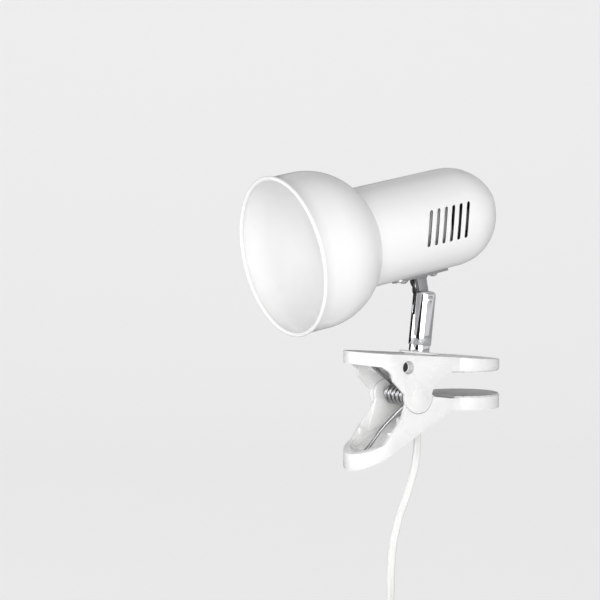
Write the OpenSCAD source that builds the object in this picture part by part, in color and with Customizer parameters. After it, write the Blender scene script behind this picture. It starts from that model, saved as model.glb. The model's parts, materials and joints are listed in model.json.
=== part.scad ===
// Clip-on reading lamp. Millimetres, +Z up, +X into the shelf, origin at the upper jaw's gripping face.
// The clip's top plate slopes, the stem leans with its own seat, and the head hangs on the stem's fork.

/* [View] */
// One node by name, or all of them

/* [Clip] */
// Half of the clip's width across the two side walls
half_w = 21; // [16:0.5:26]
// Radius of the round jaws
jaw_r = 25.6; // [20:0.5:32]
// Centre of the handles' round end, measured back from the jaws
handle_back = 64; // [50:1:80]
// Thickness of the side walls and plates
wall = 2.4; // [1.8:0.1:3.2]
// Height of the rim that runs round both levers
rim_h = 7.4; // [5:0.2:10]
// Slope of the upper lever's top plate
plate_slope = 4.5; // [0:0.5:8]
// Height of the top plate above the shelf at the jaw's centre
plate_top = 8.5; // [7.5:0.1:11]
// Slope of the lower lever's handle
handle_slope = 29.5; // [22:0.5:34]
// Thickness of the shelf it is shown clamped on
shelf_t = 15; // [10:0.5:20]
// Pivot pin position behind the jaws
pin_back = 46; // [40:0.5:52]
// Pivot pin radius
pin_r = 3; // [2.5:0.1:3.5]
// Radius of the skirt's round lobe about the pin
lobe_r = 10; // [9:0.2:11]
// Spring wire radius
wire_r = 1.1; // [0.8:0.05:1.3]

/* [Stem] */
// Lean of the stem towards the shelf
stem_lean = 6.5; // [0:0.5:10]
// Where the stem stands behind the jaws
stem_back = 32; // [28:0.5:36]
// Stem radius
stem_r = 7.25; // [6:0.05:9]
// Stem height above its flange
stem_h = 40.3; // [34:0.1:52]
// Height of the tilt pin above the flange
tilt_h = 34.5; // [29:0.1:46]
// Width of the fork's slot
fork_w = 3.4; // [3:0.1:4]

/* [Head] */
// Mouth-down pitch of the head
head_pitch = 11; // [0:0.5:15]
// Radius of the rolled rim at the mouth
mouth_r = 50; // [44:0.5:56]
// Straight length of the shade before it curves in
shade_straight = 20.3; // [14:0.1:30]
// Length of the shade from the mouth to the housing
shade_len = 53.6; // [46:0.1:62]
// Housing radius
barrel_r = 31.7; // [28:0.1:36]
// Distance from the mouth to the centre of the domed end
dome_at = 125.8; // [120:0.2:140]
// Sheet thickness of the shade and housing
sheet = 0.8; // [0.6:0.1:1.6]
// Distance from the mouth to the tilt pin
pivot_at = 98.5; // [92:0.5:104]
// Distance from the head's axis down to the tilt pin
pivot_drop = 48.3; // [46:0.1:52]
// Number of vent slots on each side
slots = 6; // [3:1:7]
// Distance between the vent slots
slot_pitch = 5.73; // [4.5:0.05:7]
// Slant of the vent slots
slot_slant = 15.5; // [0:0.5:25]

/* [Cord] */
// Width of the flat twin cord
cord_w = 4.9; // [4:0.1:6]
// Thickness of the flat twin cord
cord_t = 3; // [2.4:0.1:4]
// Mean radius of the put-away coil
coil_r = 25; // [22:0.5:30]
// Depth of the coil's centre below the shelf's top
coil_z = 262; // [255:1:275]

/* [Hidden] */
fn_big = 96;
fn_mid = 48;
fn_small = 24;
e = 0.01;
grip_t = 1;
pin_z = -(shelf_t - 0.9);
ear_y = half_w - wall - 0.4;
ear_t = 2.6;
cut_r = lobe_r + 0.4;
base_z = plate_top + stem_back * tan(plate_slope) + 0.5;
jaw_low = -(shelf_t + grip_t);
floor_low = jaw_low - rim_h - 0.6;
side_x = -54;
side_z = 5;
leg_y = 11.4;
vent_r = 50.7;
shade_r = mouth_r - 1;
arc_d = shade_len - shade_straight;
arc_g = shade_r - barrel_r;
arc_r = (arc_d * arc_d + arc_g * arc_g) / (2 * arc_g);
slot_mid = 105.3;
holder_s = 92;
holder_len = 24;
holder_r = 21;
strap_reach = barrel_r - 1.7;
bulb_r = 25;
lens_s = 42;
coil_x = -52;
grip_z = -4.8;
bundle_r = 6.2;

// A body drawn in the XZ plane and thickened evenly across Y
module across(w) { rotate([90, 0, 0]) linear_extrude(height = w, center = true) children(); }
// A cylinder along Y
module ycyl(r, w, fn = fn_small) { rotate([90, 0, 0]) cylinder(r = r, h = w, center = true, $fn = fn); }
// The plan both levers share: round jaw, straight walls, round handle
module plan(off = 0, back = 0) {
  circle(r = jaw_r - off, $fn = fn_big);
  translate([back - handle_back, -(half_w - off)]) square([handle_back - back, 2 * (half_w - off)]);
  translate([back - handle_back, 0]) circle(r = half_w - off, $fn = fn_big);
}
module plan_body(off = 0, back = 0) { translate([0, 0, -90]) linear_extrude(height = 130) plan(off, back); }
// An upright oval: straight sides and round ends
module oval(w, h) { square([w, h - w], center = true); for (s = [-1, 1]) translate([0, s * (h - w) / 2]) circle(r = w / 2, $fn = fn_mid); }
// Height of the upper plate's top face
function top_at(x) = plate_top - x * tan(plate_slope);
// Height of the lower handle's underside
function low_at(x) = floor_low + (x + 22) * tan(handle_slope);

// Side view of the upper lever: rim all round and the V-shaped skirt down to the pin
module upper_side() {
  difference() {
    polygon([[-90, top_at(-90)], [30, top_at(30)], [30, grip_t], [-20.5, grip_t], [-33.4, -5.2],
      [-36.2, -12], [-pin_back, pin_z], [-56, pin_z], [-55.9, -12], [-64.8, -3.4], [-68.2, 2], [-71.5, top_at(-71.5) - rim_h - 1],
      [-90, top_at(-90) - rim_h]]);
    translate([-73.2, -3.2]) circle(r = 8.2, $fn = fn_mid);
  }
  translate([-pin_back, pin_z]) circle(r = lobe_r, $fn = fn_mid);
}
module upper_lever() color([0.93, 0.93, 0.92]) difference() {
  union() {
    difference() {
      intersection() { plan_body(); across(80) upper_side(); }
      // the hollow under the top plate, and the cup of the round jaw
      intersection() {
        plan_body(wall);
        across(80) polygon([[-90, top_at(-90) - wall], [30, top_at(30) - wall], [30, -60], [-90, -60]]);
      }
    }
    // ribs of the round jaw
    intersection() {
      plan_body(wall - 0.5);
      union() {
        for (y = [-11, 0, 11]) translate([-20, y - 0.8, 2.2]) cube([44, 1.6, 8]);
        for (x = [-20, -7, 7]) translate([x - 0.8, -24, 2.2]) cube([1.6, 48, 8]);
      }
      across(80) polygon([[-30, 2], [30, 2], [30, top_at(30) - wall + 0.3], [-30, top_at(-30) - wall + 0.3]]);
    }
    // long ribs of the handle
    intersection() {
      plan_body(wall - 0.5);
      across(80) polygon([[-90, top_at(-90) - wall + 0.2], [-64, top_at(-64) - wall + 0.2], [-64, top_at(-64) - 4.6], [-90, top_at(-90) - 5.2]]);
      union() for (y = [-9, 9]) translate([-90, y - 0.8, 0]) cube([40, 1.6, 30]);
    }
    // thicker bosses for the pivot pin, outside the lower lever's ears
    for (s = [-1, 1]) translate([-pin_back, s * (half_w - wall / 2), pin_z]) ycyl(pin_r + 3, wall, fn_mid);
    // seat for the flange, square to the stem
    seat_frame() translate([0, 0, -4.6]) cylinder(r = 10, h = 4.6, $fn = fn_mid);
    // posts for the cord grip
    for (y = [-9, 9]) translate([-43.6, y, grip_z + 3.4]) cylinder(r = 2.6, h = top_at(-43.6) - wall - grip_z - 3.2, $fn = fn_small);
    // deep cups for the side screws
    for (s = [-1, 1]) translate([side_x, s * (half_w - 5.2), side_z]) ycyl(5.8, 6, fn_mid);
    // raised oval over the pin's blind end, in two steps
    translate([0, -half_w - 0.3, 0]) across(0.8) translate([0.4 - pin_back, pin_z - 1.1]) oval(10.4, 15.8);
    translate([0, -half_w - 0.6, 0]) across(1.4) translate([0.4 - pin_back, pin_z - 1.1]) oval(9, 14.4);
  }
  // blind bore for the pin, open on the far side with a shallow recess for its head
  translate([-pin_back, 0.38 - half_w, pin_z]) rotate([-90, 0, 0]) cylinder(r = pin_r, h = 80, $fn = fn_mid);
  translate([-pin_back, half_w, pin_z]) ycyl(5.9, 1.4, fn_mid);
  for (s = [-1, 1]) {
    translate([side_x, s * half_w, side_z]) ycyl(4.2, 12, fn_mid);
    translate([side_x, s * half_w, side_z]) ycyl(1.6, 20);
  }
  seat_frame() translate([0, 0, -30]) cylinder(r = 5.05, h = 40, $fn = fn_mid);
  for (y = [-9, 9]) translate([-43.6, y, grip_z + 3]) cylinder(r = 1.22, h = 7, $fn = fn_small);
}

// Side view of the lower lever
module lower_side() {
  polygon([[30, jaw_low], [-21.5, jaw_low], [-33, jaw_low + 1.6], [-pin_back, pin_z], [-54.6, -20.4], [-56.2, -24.4],
    [-64.6, -35], [-71, -43], [-90, -51.6], [-90, low_at(-90)], [-22, floor_low], [30, floor_low]]);
}
module lower_floor() {
  polygon([[30, floor_low + 2.2], [-22.6, floor_low + 2.2], [-90, low_at(-90) + 2.8], [-90, 30], [30, 30]]);
}
module lower_lever() color([0.91, 0.91, 0.9]) difference() {
  union() {
    difference() {
      intersection() { plan_body(); across(80) lower_side(); }
      intersection() { plan_body(wall + 0.6, 1.6); across(80) lower_floor(); }
      // room for the upper lever's skirts
      for (s = [-1, 1]) translate([-pin_back, s * (half_w + 5 - wall - 0.4), pin_z]) ycyl(cut_r, 10, fn_mid);
    }
    // ears inside the skirts
    for (s = [-1, 1]) translate([0, s * (ear_y - ear_t / 2), 0]) intersection() {
      across(ear_t) union() {
        translate([-pin_back, pin_z]) circle(r = 8.6, $fn = fn_mid);
        polygon([[-53.6, -17], [-38.2, -10.6], [-29, -16.2], [-29, -25], [-44, -33.6], [-60, -38]]);
      }
      translate([-100, -30, -80]) cube([160, 60, 120]);
    }
    // ribs of the round jaw
    intersection() {
      plan_body(wall);
      union() {
        for (y = [-11, 0, 11]) translate([-12, y - 0.8, floor_low + 1]) cube([36, 1.6, rim_h - 2.4]);
        for (x = [-12, 6]) translate([x - 0.8, -24, floor_low + 1]) cube([1.6, 48, rim_h - 2.4]);
      }
    }
    // cross rib near the handle's end, notched for the spring
    intersection() {
      plan_body(wall);
      across(80) polygon([[-72.4, low_at(-72.4) + 1], [-70.8, low_at(-70.8) + 1], [-70.8, low_at(-70.8) + 5.4], [-72.4, low_at(-72.4) + 5.4]]);
      union() for (s = [-1, 1]) translate([-100, s * 11 - 8.6, -80]) cube([60, 17.2, 60]);
    }
    // lugs on the side walls' edges
    for (s = [-1, 1]) translate([-66.2, s * (half_w - wall - 1.4) - 1.4, -40]) cube([3, 2.8, 4.6]);
    // web beside the cord's slot
    intersection() {
      across(11) polygon([[-45.6, -40], [-43.8, -40], [-43.8, -28.5], [-45.6, -30]]);
      plan_body(wall);
      across(80) polygon([[-90, low_at(-90) + 1], [-22, floor_low + 1], [-22, 0], [-90, 0]]);
    }
  }
  translate([-pin_back, 0, pin_z]) ycyl(pin_r + 0.06, 80);
  // the cord's slot, long enough for the lever's whole swing
  translate([-28.9, 0, -60]) linear_extrude(height = 45) {
    square([17, 6.6], center = true);
    for (s = [-1, 1]) translate([s * 8.5, 0]) circle(r = 3.3, $fn = fn_small);
  }
}

module upper_grip() color([0.55, 0.55, 0.55]) union() {
  difference() {
    cylinder(r = jaw_r - 0.6, h = grip_t, $fn = fn_big);
    // grooves across the gripping face
    for (x = [-17.5 : 5 : 20]) translate([x - 0.5, -30, -1]) cube([1, 60, 1.4]);
    translate([-60, -40, -1]) cube([39.4, 80, 4]);
  }
  translate([0, 0, grip_t - e]) difference() {
    cylinder(r = jaw_r - wall - 0.1, h = 1.2, $fn = fn_big);
    translate([-60, -40, -1]) cube([40.4, 80, 4]);
  }
}
module lower_grip() color([0.55, 0.55, 0.55]) translate([0, 0, -shelf_t]) mirror([0, 0, 1]) union() {
  difference() {
    cylinder(r = jaw_r - 0.6, h = grip_t, $fn = fn_big);
    for (x = [-17.5 : 5 : 20]) translate([x - 0.5, -30, -1]) cube([1, 60, 1.4]);
    translate([-60, -40, -1]) cube([43, 80, 4]);
  }
  translate([0, 0, grip_t - e]) difference() {
    cylinder(r = jaw_r - wall - 0.7, h = 2, $fn = fn_big);
    translate([-60, -40, -1]) cube([44, 80, 4]);
  }
}

module pivot_pin() color([0.8, 0.8, 0.82]) translate([-pin_back, 0, pin_z]) {
  ycyl(pin_r, 2 * half_w - 0.8, fn_mid);
  // domed head in the far recess
  translate([0, half_w - 0.7, 0]) rotate([-90, 0, 0]) intersection() {
    cylinder(r = 5.2, h = 1.8, $fn = fn_mid);
    translate([0, 0, -9]) sphere(r = 10.4, $fn = fn_mid);
  }
}
// Push-on ring inside the near ear
module pin_ring() color([0.6, 0.6, 0.62]) translate([-pin_back, ear_t + 0.65 - ear_y, pin_z]) difference() {
  ycyl(5, 0.7, fn_mid);
  ycyl(pin_r + 0.03, 3, fn_mid);
  translate([0, -2, -1.1]) cube([8, 4, 2.2]);
}

// Rings of a round or oval tube along points, closed at both ends
function lerp(a, b, t) = a + (b - a) * t;
function unit(v) = v / norm(v);
module tube(pts, a, b, n, side) {
  k = len(pts);
  dirs = [for (i = [0 : k - 1]) unit(pts[min(i + 1, k - 1)] - pts[max(i - 1, 0)])];
  rings = [for (i = [0 : k - 1]) let (d = dirs[i], u = unit(side - d * (side * d)), v = cross(d, u))
    for (j = [0 : n - 1]) let (t = 360 * j / n) pts[i] + u * (a * cos(t)) + v * (b * sin(t))];
  faces = concat([[for (j = [0 : n - 1]) j]], [[for (j = [n - 1 : -1 : 0]) (k - 1) * n + j]],
    [for (i = [0 : k - 2]) for (j = [0 : n - 1]) [i * n + j, (i + 1) * n + j, (i + 1) * n + (j + 1) % n, i * n + (j + 1) % n]]);
  polyhedron(points = rings, faces = faces, convexity = 8);
}
// Points on a smooth path through hand-placed ones
function spline(p, m) = [for (i = [0 : len(p) - 2]) for (j = [0 : m - 1])
  let (t = j / m, a = p[max(i - 1, 0)], b = p[i], c = p[i + 1], d = p[min(i + 2, len(p) - 1)])
  0.5 * ((2 * b) + (c - a) * t + (2 * a - 5 * b + 4 * c - d) * t * t + (3 * b - a - 3 * c + d) * t * t * t)];
function path(p, m) = concat(spline(p, m), [p[len(p) - 1]]);

// Torsion spring: a helix on the pin, one leg under the top plate, one in the trough
spring_mean = pin_r + wire_r + 1.3;
spring_from = 52;
spring_to = -1885;
function coil_pt(t) = let (a = spring_from + (spring_to - spring_from) * t)
  [-pin_back + spring_mean * cos(a), leg_y - (leg_y + 12.4) * t, pin_z + spring_mean * sin(a)];
module torsion_spring() color([0.82, 0.82, 0.84]) {
  n = 70;
  a0 = coil_pt(0);
  b0 = coil_pt(1);
  leg_a = [[-72.5, leg_y, top_at(-72.5) - wall - wire_r - 0.3], [-69, leg_y, top_at(-69) - wall - wire_r - 0.4], [-65.6, leg_y, 8.2], [-58.7, leg_y, 3.1], lerp(a0, [-58.7, leg_y, 3.1], 0.5), lerp(a0, [-58.7, leg_y, 3.1], 0.1)];
  leg_b = [lerp(b0, [-51, -12.1, -20.1], 0.3), [-51, -12.1, -20.1], [-53.6, -11.2, -21.9], [-63.5, -5.6, -34], [-71.6, -0.9, low_at(-71.6) + 2.8 + wire_r + 1.2], [-76.4, -0.2, low_at(-76.4) + 2.8 + wire_r + 0.4]];
  tube(concat(path(leg_a, 2), [for (i = [0 : n]) coil_pt(i / n)], path(leg_b, 2)), wire_r, wire_r, 8, [0.05, 1, 0.03]);
}

module spacer_bar() color([0.72, 0.72, 0.74]) translate([side_x, 0, side_z]) difference() {
  ycyl(2.4, 2 * (half_w - 8.2) - 0.02);
  for (s = [-1, 1]) translate([0, s * (half_w - 9), 0]) ycyl(1.6, 12);
}
module side_screws() color([0.6, 0.6, 0.62]) for (s = [-1, 1]) translate([side_x, s * (half_w - 6), side_z]) rotate([s * -90, 0, 0]) difference() {
  union() {
    intersection() { cylinder(r = 3.3, h = 1.7, $fn = fn_small); translate([0, 0, -4.6]) sphere(r = 6.1, $fn = fn_mid); }
    translate([0, 0, -7.5]) cylinder(r = 1.6, h = 7.6, $fn = fn_small);
  }
  translate([-0.4, -2.2, 0.9]) cube([0.8, 4.4, 2]);
  translate([-2.2, -0.4, 0.9]) cube([4.4, 0.8, 2]);
}

// The stem's own frame, with its origin at the flange's underside
module seat_frame() translate([-stem_back, 0, base_z]) rotate([0, stem_lean, 0]) children();
module base_flange() color([0.94, 0.94, 0.93]) seat_frame() difference() {
  union() {
    cylinder(r = 12.5, h = 0.8, $fn = fn_big);
    translate([0, 0, 0.8 - e]) cylinder(r1 = 12.5, r2 = 12, h = 0.5, $fn = fn_big);
  }
  translate([0, 0, -1]) cylinder(r = 5.05, h = 4, $fn = fn_mid);
}
module swivel_collar() color([0.85, 0.85, 0.86]) seat_frame() translate([0, 0, 1.3 - e]) difference() {
  cylinder(r = 6.6, h = 4.3, $fn = fn_big);
  translate([0, 0, -1]) cylinder(r = 5.05, h = 8, $fn = fn_mid);
  for (a = [0 : 30 : 330]) rotate([0, 0, a]) translate([6.9, 0, -1]) cylinder(r = 0.5, h = 2, $fn = 16);
}
module stem_tube() color([0.85, 0.85, 0.87]) seat_frame() difference() {
  rotate_extrude($fn = fn_big) difference() {
    union() {
      translate([0, 5.62]) square([stem_r, stem_h - 5.62 - 2.6]);
      square([stem_r - 2.6, stem_h]);
      translate([stem_r - 2.6, stem_h - 2.6]) circle(r = 2.6, $fn = fn_mid);
    }
    translate([-30, -30]) square([30, 90]);
    translate([-1, -1]) square([30, 6.62]);
  }
  // bore for the nipple, then the cord's way
  translate([0, 0, 5]) cylinder(r = 4.97, h = 9.6, $fn = fn_mid);
  translate([0, 0, 5]) cylinder(r = 3.6, h = 26, $fn = fn_mid);
  // fork slot
  translate([-20, -fork_w / 2, 24.4]) cube([40, fork_w, 30]);
  translate([0, 0, tilt_h]) ycyl(1.55, 40);
}
module stem_nipple() color([0.75, 0.72, 0.6]) seat_frame() difference() {
  union() {
    translate([0, 0, -12]) cylinder(r = 4.97, h = 26.4, $fn = fn_mid);
    for (z = [-11.5 : 1 : -6.5]) translate([0, 0, z]) cylinder(r1 = 4.97, r2 = 5.0, h = 0.5, $fn = fn_mid);
  }
  translate([0, 0, -13]) cylinder(r = 3.4, h = 30, $fn = fn_mid);
}
module swivel_washer() color([0.6, 0.6, 0.62]) seat_frame() translate([0, 0, -5.7]) difference() {
  cylinder(r = 8.4, h = 1.04, $fn = fn_mid);
  translate([0, 0, -1]) cylinder(r = 5.06, h = 3, $fn = fn_mid);
}
module stem_nut() color([0.7, 0.68, 0.55]) seat_frame() translate([0, 0, -10.2]) difference() {
  intersection() {
    cylinder(r = 8.1, h = 4.4, $fn = 6);
    cylinder(r1 = 7.3, r2 = 11, h = 4.4, $fn = fn_mid);
    cylinder(r1 = 11, r2 = 7.3, h = 4.4, $fn = fn_mid);
  }
  translate([0, 0, -1]) cylinder(r = 5.02, h = 7, $fn = fn_mid);
}
// Plain pin, ground flush with the stem's sides
module tilt_pin() color([0.7, 0.7, 0.72]) seat_frame() intersection() {
  translate([0, 0, tilt_h]) ycyl(1.5, 30, fn_mid);
  translate([0, 0, tilt_h - 5]) cylinder(r = stem_r - 0.03, h = 10, $fn = fn_big);
}
module tilt_washers() color([0.55, 0.55, 0.56]) seat_frame() for (s = [-1, 1]) translate([0, s * (fork_w / 2 - 0.1), tilt_h]) difference() {
  ycyl(2.9, 0.16);
  ycyl(1.56, 1);
}

// The head's frame: x runs back from the mouth along its axis
module head_frame() seat_frame() translate([0, 0, tilt_h]) rotate([0, -stem_lean - head_pitch, 0]) translate([-pivot_at, 0, pivot_drop]) children();
module spin(fn = fn_big) { rotate([0, 90, 0]) rotate([0, 0, 180]) rotate_extrude($fn = fn) children(); }
module bell(r, ar, s0, s1) {
  // straight, then one circular arc
  translate([0, s0]) square([r, shade_straight - s0]);
  intersection() {
    union() { translate([shade_r - arc_r, shade_straight]) circle(r = ar, $fn = fn_big); }
    translate([0, shade_straight]) square([r, s1 - shade_straight]);
  }
}
module front_shade() color([0.93, 0.93, 0.92]) head_frame()
  spin() difference() {
    union() {
      bell(shade_r, arc_r, 1.4, shade_len);
      translate([shade_r - 0.3, 1.3]) circle(r = 1.3, $fn = fn_small);
      square([barrel_r - sheet - 0.05, shade_len + 7]);
    }
    bell(shade_r - sheet, arc_r - sheet, 1.4, shade_len - 1.2);
    translate([0, -1]) square([shade_r - 1.6, 3.6]);
    square([barrel_r - 2 * sheet - 0.4, shade_len + 9]);
  }
// One vent: a curved band with round ends, bowed towards the mouth so that it looks straight on the round wall
module vent() {
  intersection() {
    translate([vent_r - 0.7, 0]) difference() { circle(r = vent_r + 1, $fn = fn_big); circle(r = vent_r - 1, $fn = fn_big); }
    translate([vent_r - 0.7, 0]) polygon([[0, 0], [-60 * cos(11.95), 60 * sin(11.95)], [-60 * cos(11.95), -60 * sin(11.95)]]);
  }
  for (s = [-1, 1]) translate([0.4, s * 10.5]) circle(r = 1, $fn = fn_small);
}
module rear_housing() color([0.93, 0.93, 0.92]) head_frame() difference() {
  spin() intersection() {
    difference() {
      union() { translate([0, shade_len]) square([barrel_r, dome_at - shade_len]); translate([0, dome_at]) circle(r = barrel_r, $fn = fn_big); }
      union() { translate([0, shade_len - 1]) square([barrel_r - sheet, dome_at - shade_len + 1]); translate([0, dome_at]) circle(r = barrel_r - sheet, $fn = fn_big); }
    }
    translate([0, shade_len]) square([60, 160]);
  }
  // slanted vent slots through both sides
  for (i = [0 : slots - 1]) translate([slot_mid + (i - (slots - 1) / 2) * slot_pitch, 0, -0.2]) rotate([0, slot_slant, 0])
    across(90) vent();
  for (x = [-13, 10]) translate([pivot_at + x, 0, -40]) cylinder(r = 1.6, h = 20, $fn = fn_small);
  translate([pivot_at - 6.4, 0, -40]) cylinder(r = 3.1, h = 20, $fn = fn_small);
}
// Bracket: a strip that hugs the housing and a tongue down into the fork
module hinge_bracket() color([0.55, 0.56, 0.58]) head_frame() difference() {
  union() {
    intersection() {
      rotate([0, 90, 0]) rotate_extrude($fn = 192) translate([barrel_r + 0.02, pivot_at - 21]) square([1.5, 42]);
      translate([0, -5, -60]) cube([160, 10, 40]);
      union() {
        translate([pivot_at - 16, -20, -60]) cube([32, 40, 60]);
        for (x = [-16, 16]) translate([pivot_at + x, 0, -60]) cylinder(r = 5, h = 60, $fn = fn_mid);
      }
    }
    translate([pivot_at, 0, 0]) across(3) {
      translate([-3.5, -pivot_drop]) square([7, pivot_drop - barrel_r - 0.9]);
      translate([0, -pivot_drop]) circle(r = 3.5, $fn = fn_mid);
      polygon([[-3.5, -barrel_r - 3.4], [3.5, -barrel_r - 3.4], [5.4, -barrel_r - 1], [-3.9, -barrel_r - 1]]);
    }
  }
  translate([pivot_at, 0, -pivot_drop]) ycyl(1.55, 20);
  for (x = [-13, 10]) translate([pivot_at + x, 0, -60]) cylinder(r = 1.6, h = 40, $fn = fn_small);
  translate([pivot_at - 6.4, 0, -60]) cylinder(r = 2.6, h = 40, $fn = fn_small);
}
module bracket_screws() color([0.75, 0.75, 0.77]) head_frame() for (x = [-13, 10]) translate([pivot_at + x, 0, -barrel_r - 1.55]) rotate([180, 0, 0]) difference() {
  union() {
    intersection() { cylinder(r = 3, h = 2, $fn = fn_mid); translate([0, 0, -1.6]) sphere(r = 3.5, $fn = fn_mid); }
    translate([0, 0, -7.4]) cylinder(r = 1.5, h = 7.5, $fn = fn_small);
  }
  translate([-0.35, -1.7, 1.1]) cube([0.7, 3.4, 2]);
  translate([-1.7, -0.35, 1.1]) cube([3.4, 0.7, 2]);
}
module bracket_nuts() color([0.6, 0.6, 0.62]) head_frame() for (x = [-13, 10]) translate([pivot_at + x, 0, -barrel_r + sheet + 0.2]) difference() {
  intersection() {
    cylinder(r = 3.17, h = 2.4, $fn = 6);
    cylinder(r1 = 5, r2 = 2.9, h = 2.4, $fn = fn_small);
  }
  translate([0, 0, -1]) cylinder(r = 1.52, h = 6, $fn = fn_small);
}
module lead_grommet() color([0.1, 0.1, 0.1]) head_frame() translate([pivot_at - 6.4, 0, 0]) difference() {
  union() {
    translate([0, 0, -barrel_r - 1.2]) cylinder(r = 2.5, h = 3, $fn = fn_small);
    translate([0, 0, -barrel_r + sheet + 0.32]) cylinder(r = 3.2, h = 1.2, $fn = fn_small);
  }
  translate([0, 0, -40]) linear_extrude(height = 20) circle(r = 2.02, $fn = fn_small);
}
module head_lead() color([0.08, 0.08, 0.08]) seat_frame()
  tube(path([[0, 0, 15], [-0.2, 0, 21.5], [-2.6, 0, 27], [-5.1, 0, 32], [-6.4, 0, 36.6], [-9.2, 0, 42.4], [-11.3, 0, 49.1], [-13.4, 0, 55.8], [-14.4, 0, 59]], 3), 1.9, 1.2, 12, [1, 0, 0.1]);

module lamp_holder() color([0.62, 0.62, 0.6]) head_frame() translate([holder_s, 0, 0]) difference() {
  rotate([0, 90, 0]) union() {
    cylinder(r = 13, h = 14, $fn = fn_mid);
    translate([0, 0, 4]) cylinder(r = holder_r, h = holder_len - 5.6, $fn = fn_big);
    translate([-9, -11, 13.9]) cube([18, 22, holder_len - 13.9]);
  }
  for (s = [-1, 1]) translate([-1, s * 5, 0]) rotate([0, 90, 0]) cylinder(r = 2.7, h = 9.9, $fn = fn_small);
  for (s = [-1, 1]) translate([6, s * 5, 0]) rotate([0, 90, 0]) cylinder(r = 1.3, h = 30, $fn = fn_small);
  for (s = [-1, 1]) translate([12, 0, s * 10.6]) rotate([0, 90, 0]) cylinder(r = 3.2, h = 4, $fn = fn_small);
  for (s = [-1, 1]) translate([10, 0, s * 4.4]) rotate([0, 90, 0]) cylinder(r = 1.25, h = 30, $fn = fn_small);
}
module holder_contacts() color([0.78, 0.6, 0.3]) head_frame() for (s = [-1, 1]) translate([holder_s + 8.05, s * 5, 0]) rotate([0, 90, 0]) difference() {
  union() { translate([0, 0, -0.02]) cylinder(r = 2.3, h = 0.8, $fn = fn_small); cylinder(r = 1.28, h = 9, $fn = fn_small); }
  translate([-0.3, -1.4, -1]) cube([0.6, 2.8, 1.4]);
}
module holder_strap() color([0.7, 0.7, 0.72]) head_frame() difference() {
  intersection() {
    union() {
      translate([holder_s + holder_len + 0.02, -strap_reach, -6]) cube([1.2, 2 * strap_reach, 12]);
      for (s = [-1, 1]) translate([holder_s + holder_len + 0.02, s * strap_reach - 1.8, -6]) cube([17.5, 3.6, 12]);
    }
    union() {
      translate([holder_s, 0, 0]) rotate([0, 90, 0]) cylinder(r = barrel_r - sheet - 0.02, h = dome_at - holder_s, $fn = fn_big);
      translate([dome_at, 0, 0]) sphere(r = barrel_r - sheet - 0.02, $fn = fn_big);
    }
  }
  for (s = [-1, 1]) translate([0, s * 5, 0]) rotate([0, 90, 0]) cylinder(r = 2.2, h = 150, $fn = fn_small);
  for (s = [-1, 1]) translate([holder_s + 15, 0, s * 4.4]) rotate([0, 90, 0]) cylinder(r = 1.3, h = 20, $fn = fn_small);
}
module strap_screws() color([0.6, 0.6, 0.62]) head_frame() for (s = [-1, 1]) translate([holder_s + holder_len + 1.24, 0, s * 4.4]) rotate([0, 90, 0]) difference() {
  union() {
    intersection() { cylinder(r = 2.2, h = 1.4, $fn = fn_small); translate([0, 0, -2.2]) sphere(r = 3.5, $fn = fn_mid); }
    translate([0, 0, -9]) cylinder(r = 1.2, h = 9.1, $fn = fn_small);
  }
  translate([-0.25, -3, 0.8]) cube([0.5, 6, 2]);
}
module holder_wires() color([0.85, 0.84, 0.8]) head_frame() for (s = [-1, 1])
  tube(path([[holder_s + holder_len - 3, s * 5, 0], [holder_s + holder_len + 4, s * 5, 0], [holder_s + holder_len + 8.6, s * 5, -3], [holder_s + holder_len + 8.6, s * 4.4, -12],
    [121, s * 3.6, -20], [114, s * 2.6, -24.2], [104, s * 1.6, -24.8], [95.6, s * 1.25, -23.8]], 3), 1.1, 1.1, 8, [0, 0.2, 1]);

module bulb_reflector() color([0.85, 0.86, 0.88]) head_frame() spin() difference() {
  union() {
    translate([0, lens_s + 0.6]) square([bulb_r, 3.4]);
    intersection() { translate([bulb_r - 34, lens_s + 4]) circle(r = 34, $fn = fn_big); translate([0, lens_s + 3.9]) square([40, 27.1]); }
    translate([0, lens_s + 31]) square([9.4, 4]);
  }
  translate([0, lens_s - 1]) square([bulb_r - 1.2, 5.1]);
  intersection() { translate([bulb_r - 34, lens_s + 4]) circle(r = 32.8, $fn = fn_big); translate([0, lens_s + 3.9]) square([40, 24.6]); }
}
module bulb_lens() color([0.9, 0.95, 1, 0.4]) head_frame() spin() difference() {
  translate([0, lens_s]) square([bulb_r - 1.24, 2.4]);
  translate([bulb_r - 6, lens_s - 1]) square([1.2, 1.5]);
}
module bulb_base() color([0.9, 0.9, 0.88]) head_frame() spin(fn_mid) difference() {
  translate([0, lens_s + 31]) square([12, holder_s - lens_s - 31 - 0.3]);
  translate([0, lens_s + 30]) square([9.44, 5.02]);
}
module bulb_pins() color([0.75, 0.75, 0.77]) head_frame() for (s = [-1, 1]) translate([holder_s - 0.3, s * 5, 0]) rotate([0, 90, 0]) {
  cylinder(r = 1.5, h = 6.1, $fn = fn_small);
  translate([0, 0, 4.6]) cylinder(r = 2.45, h = 2.6, $fn = fn_small);
}

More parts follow.
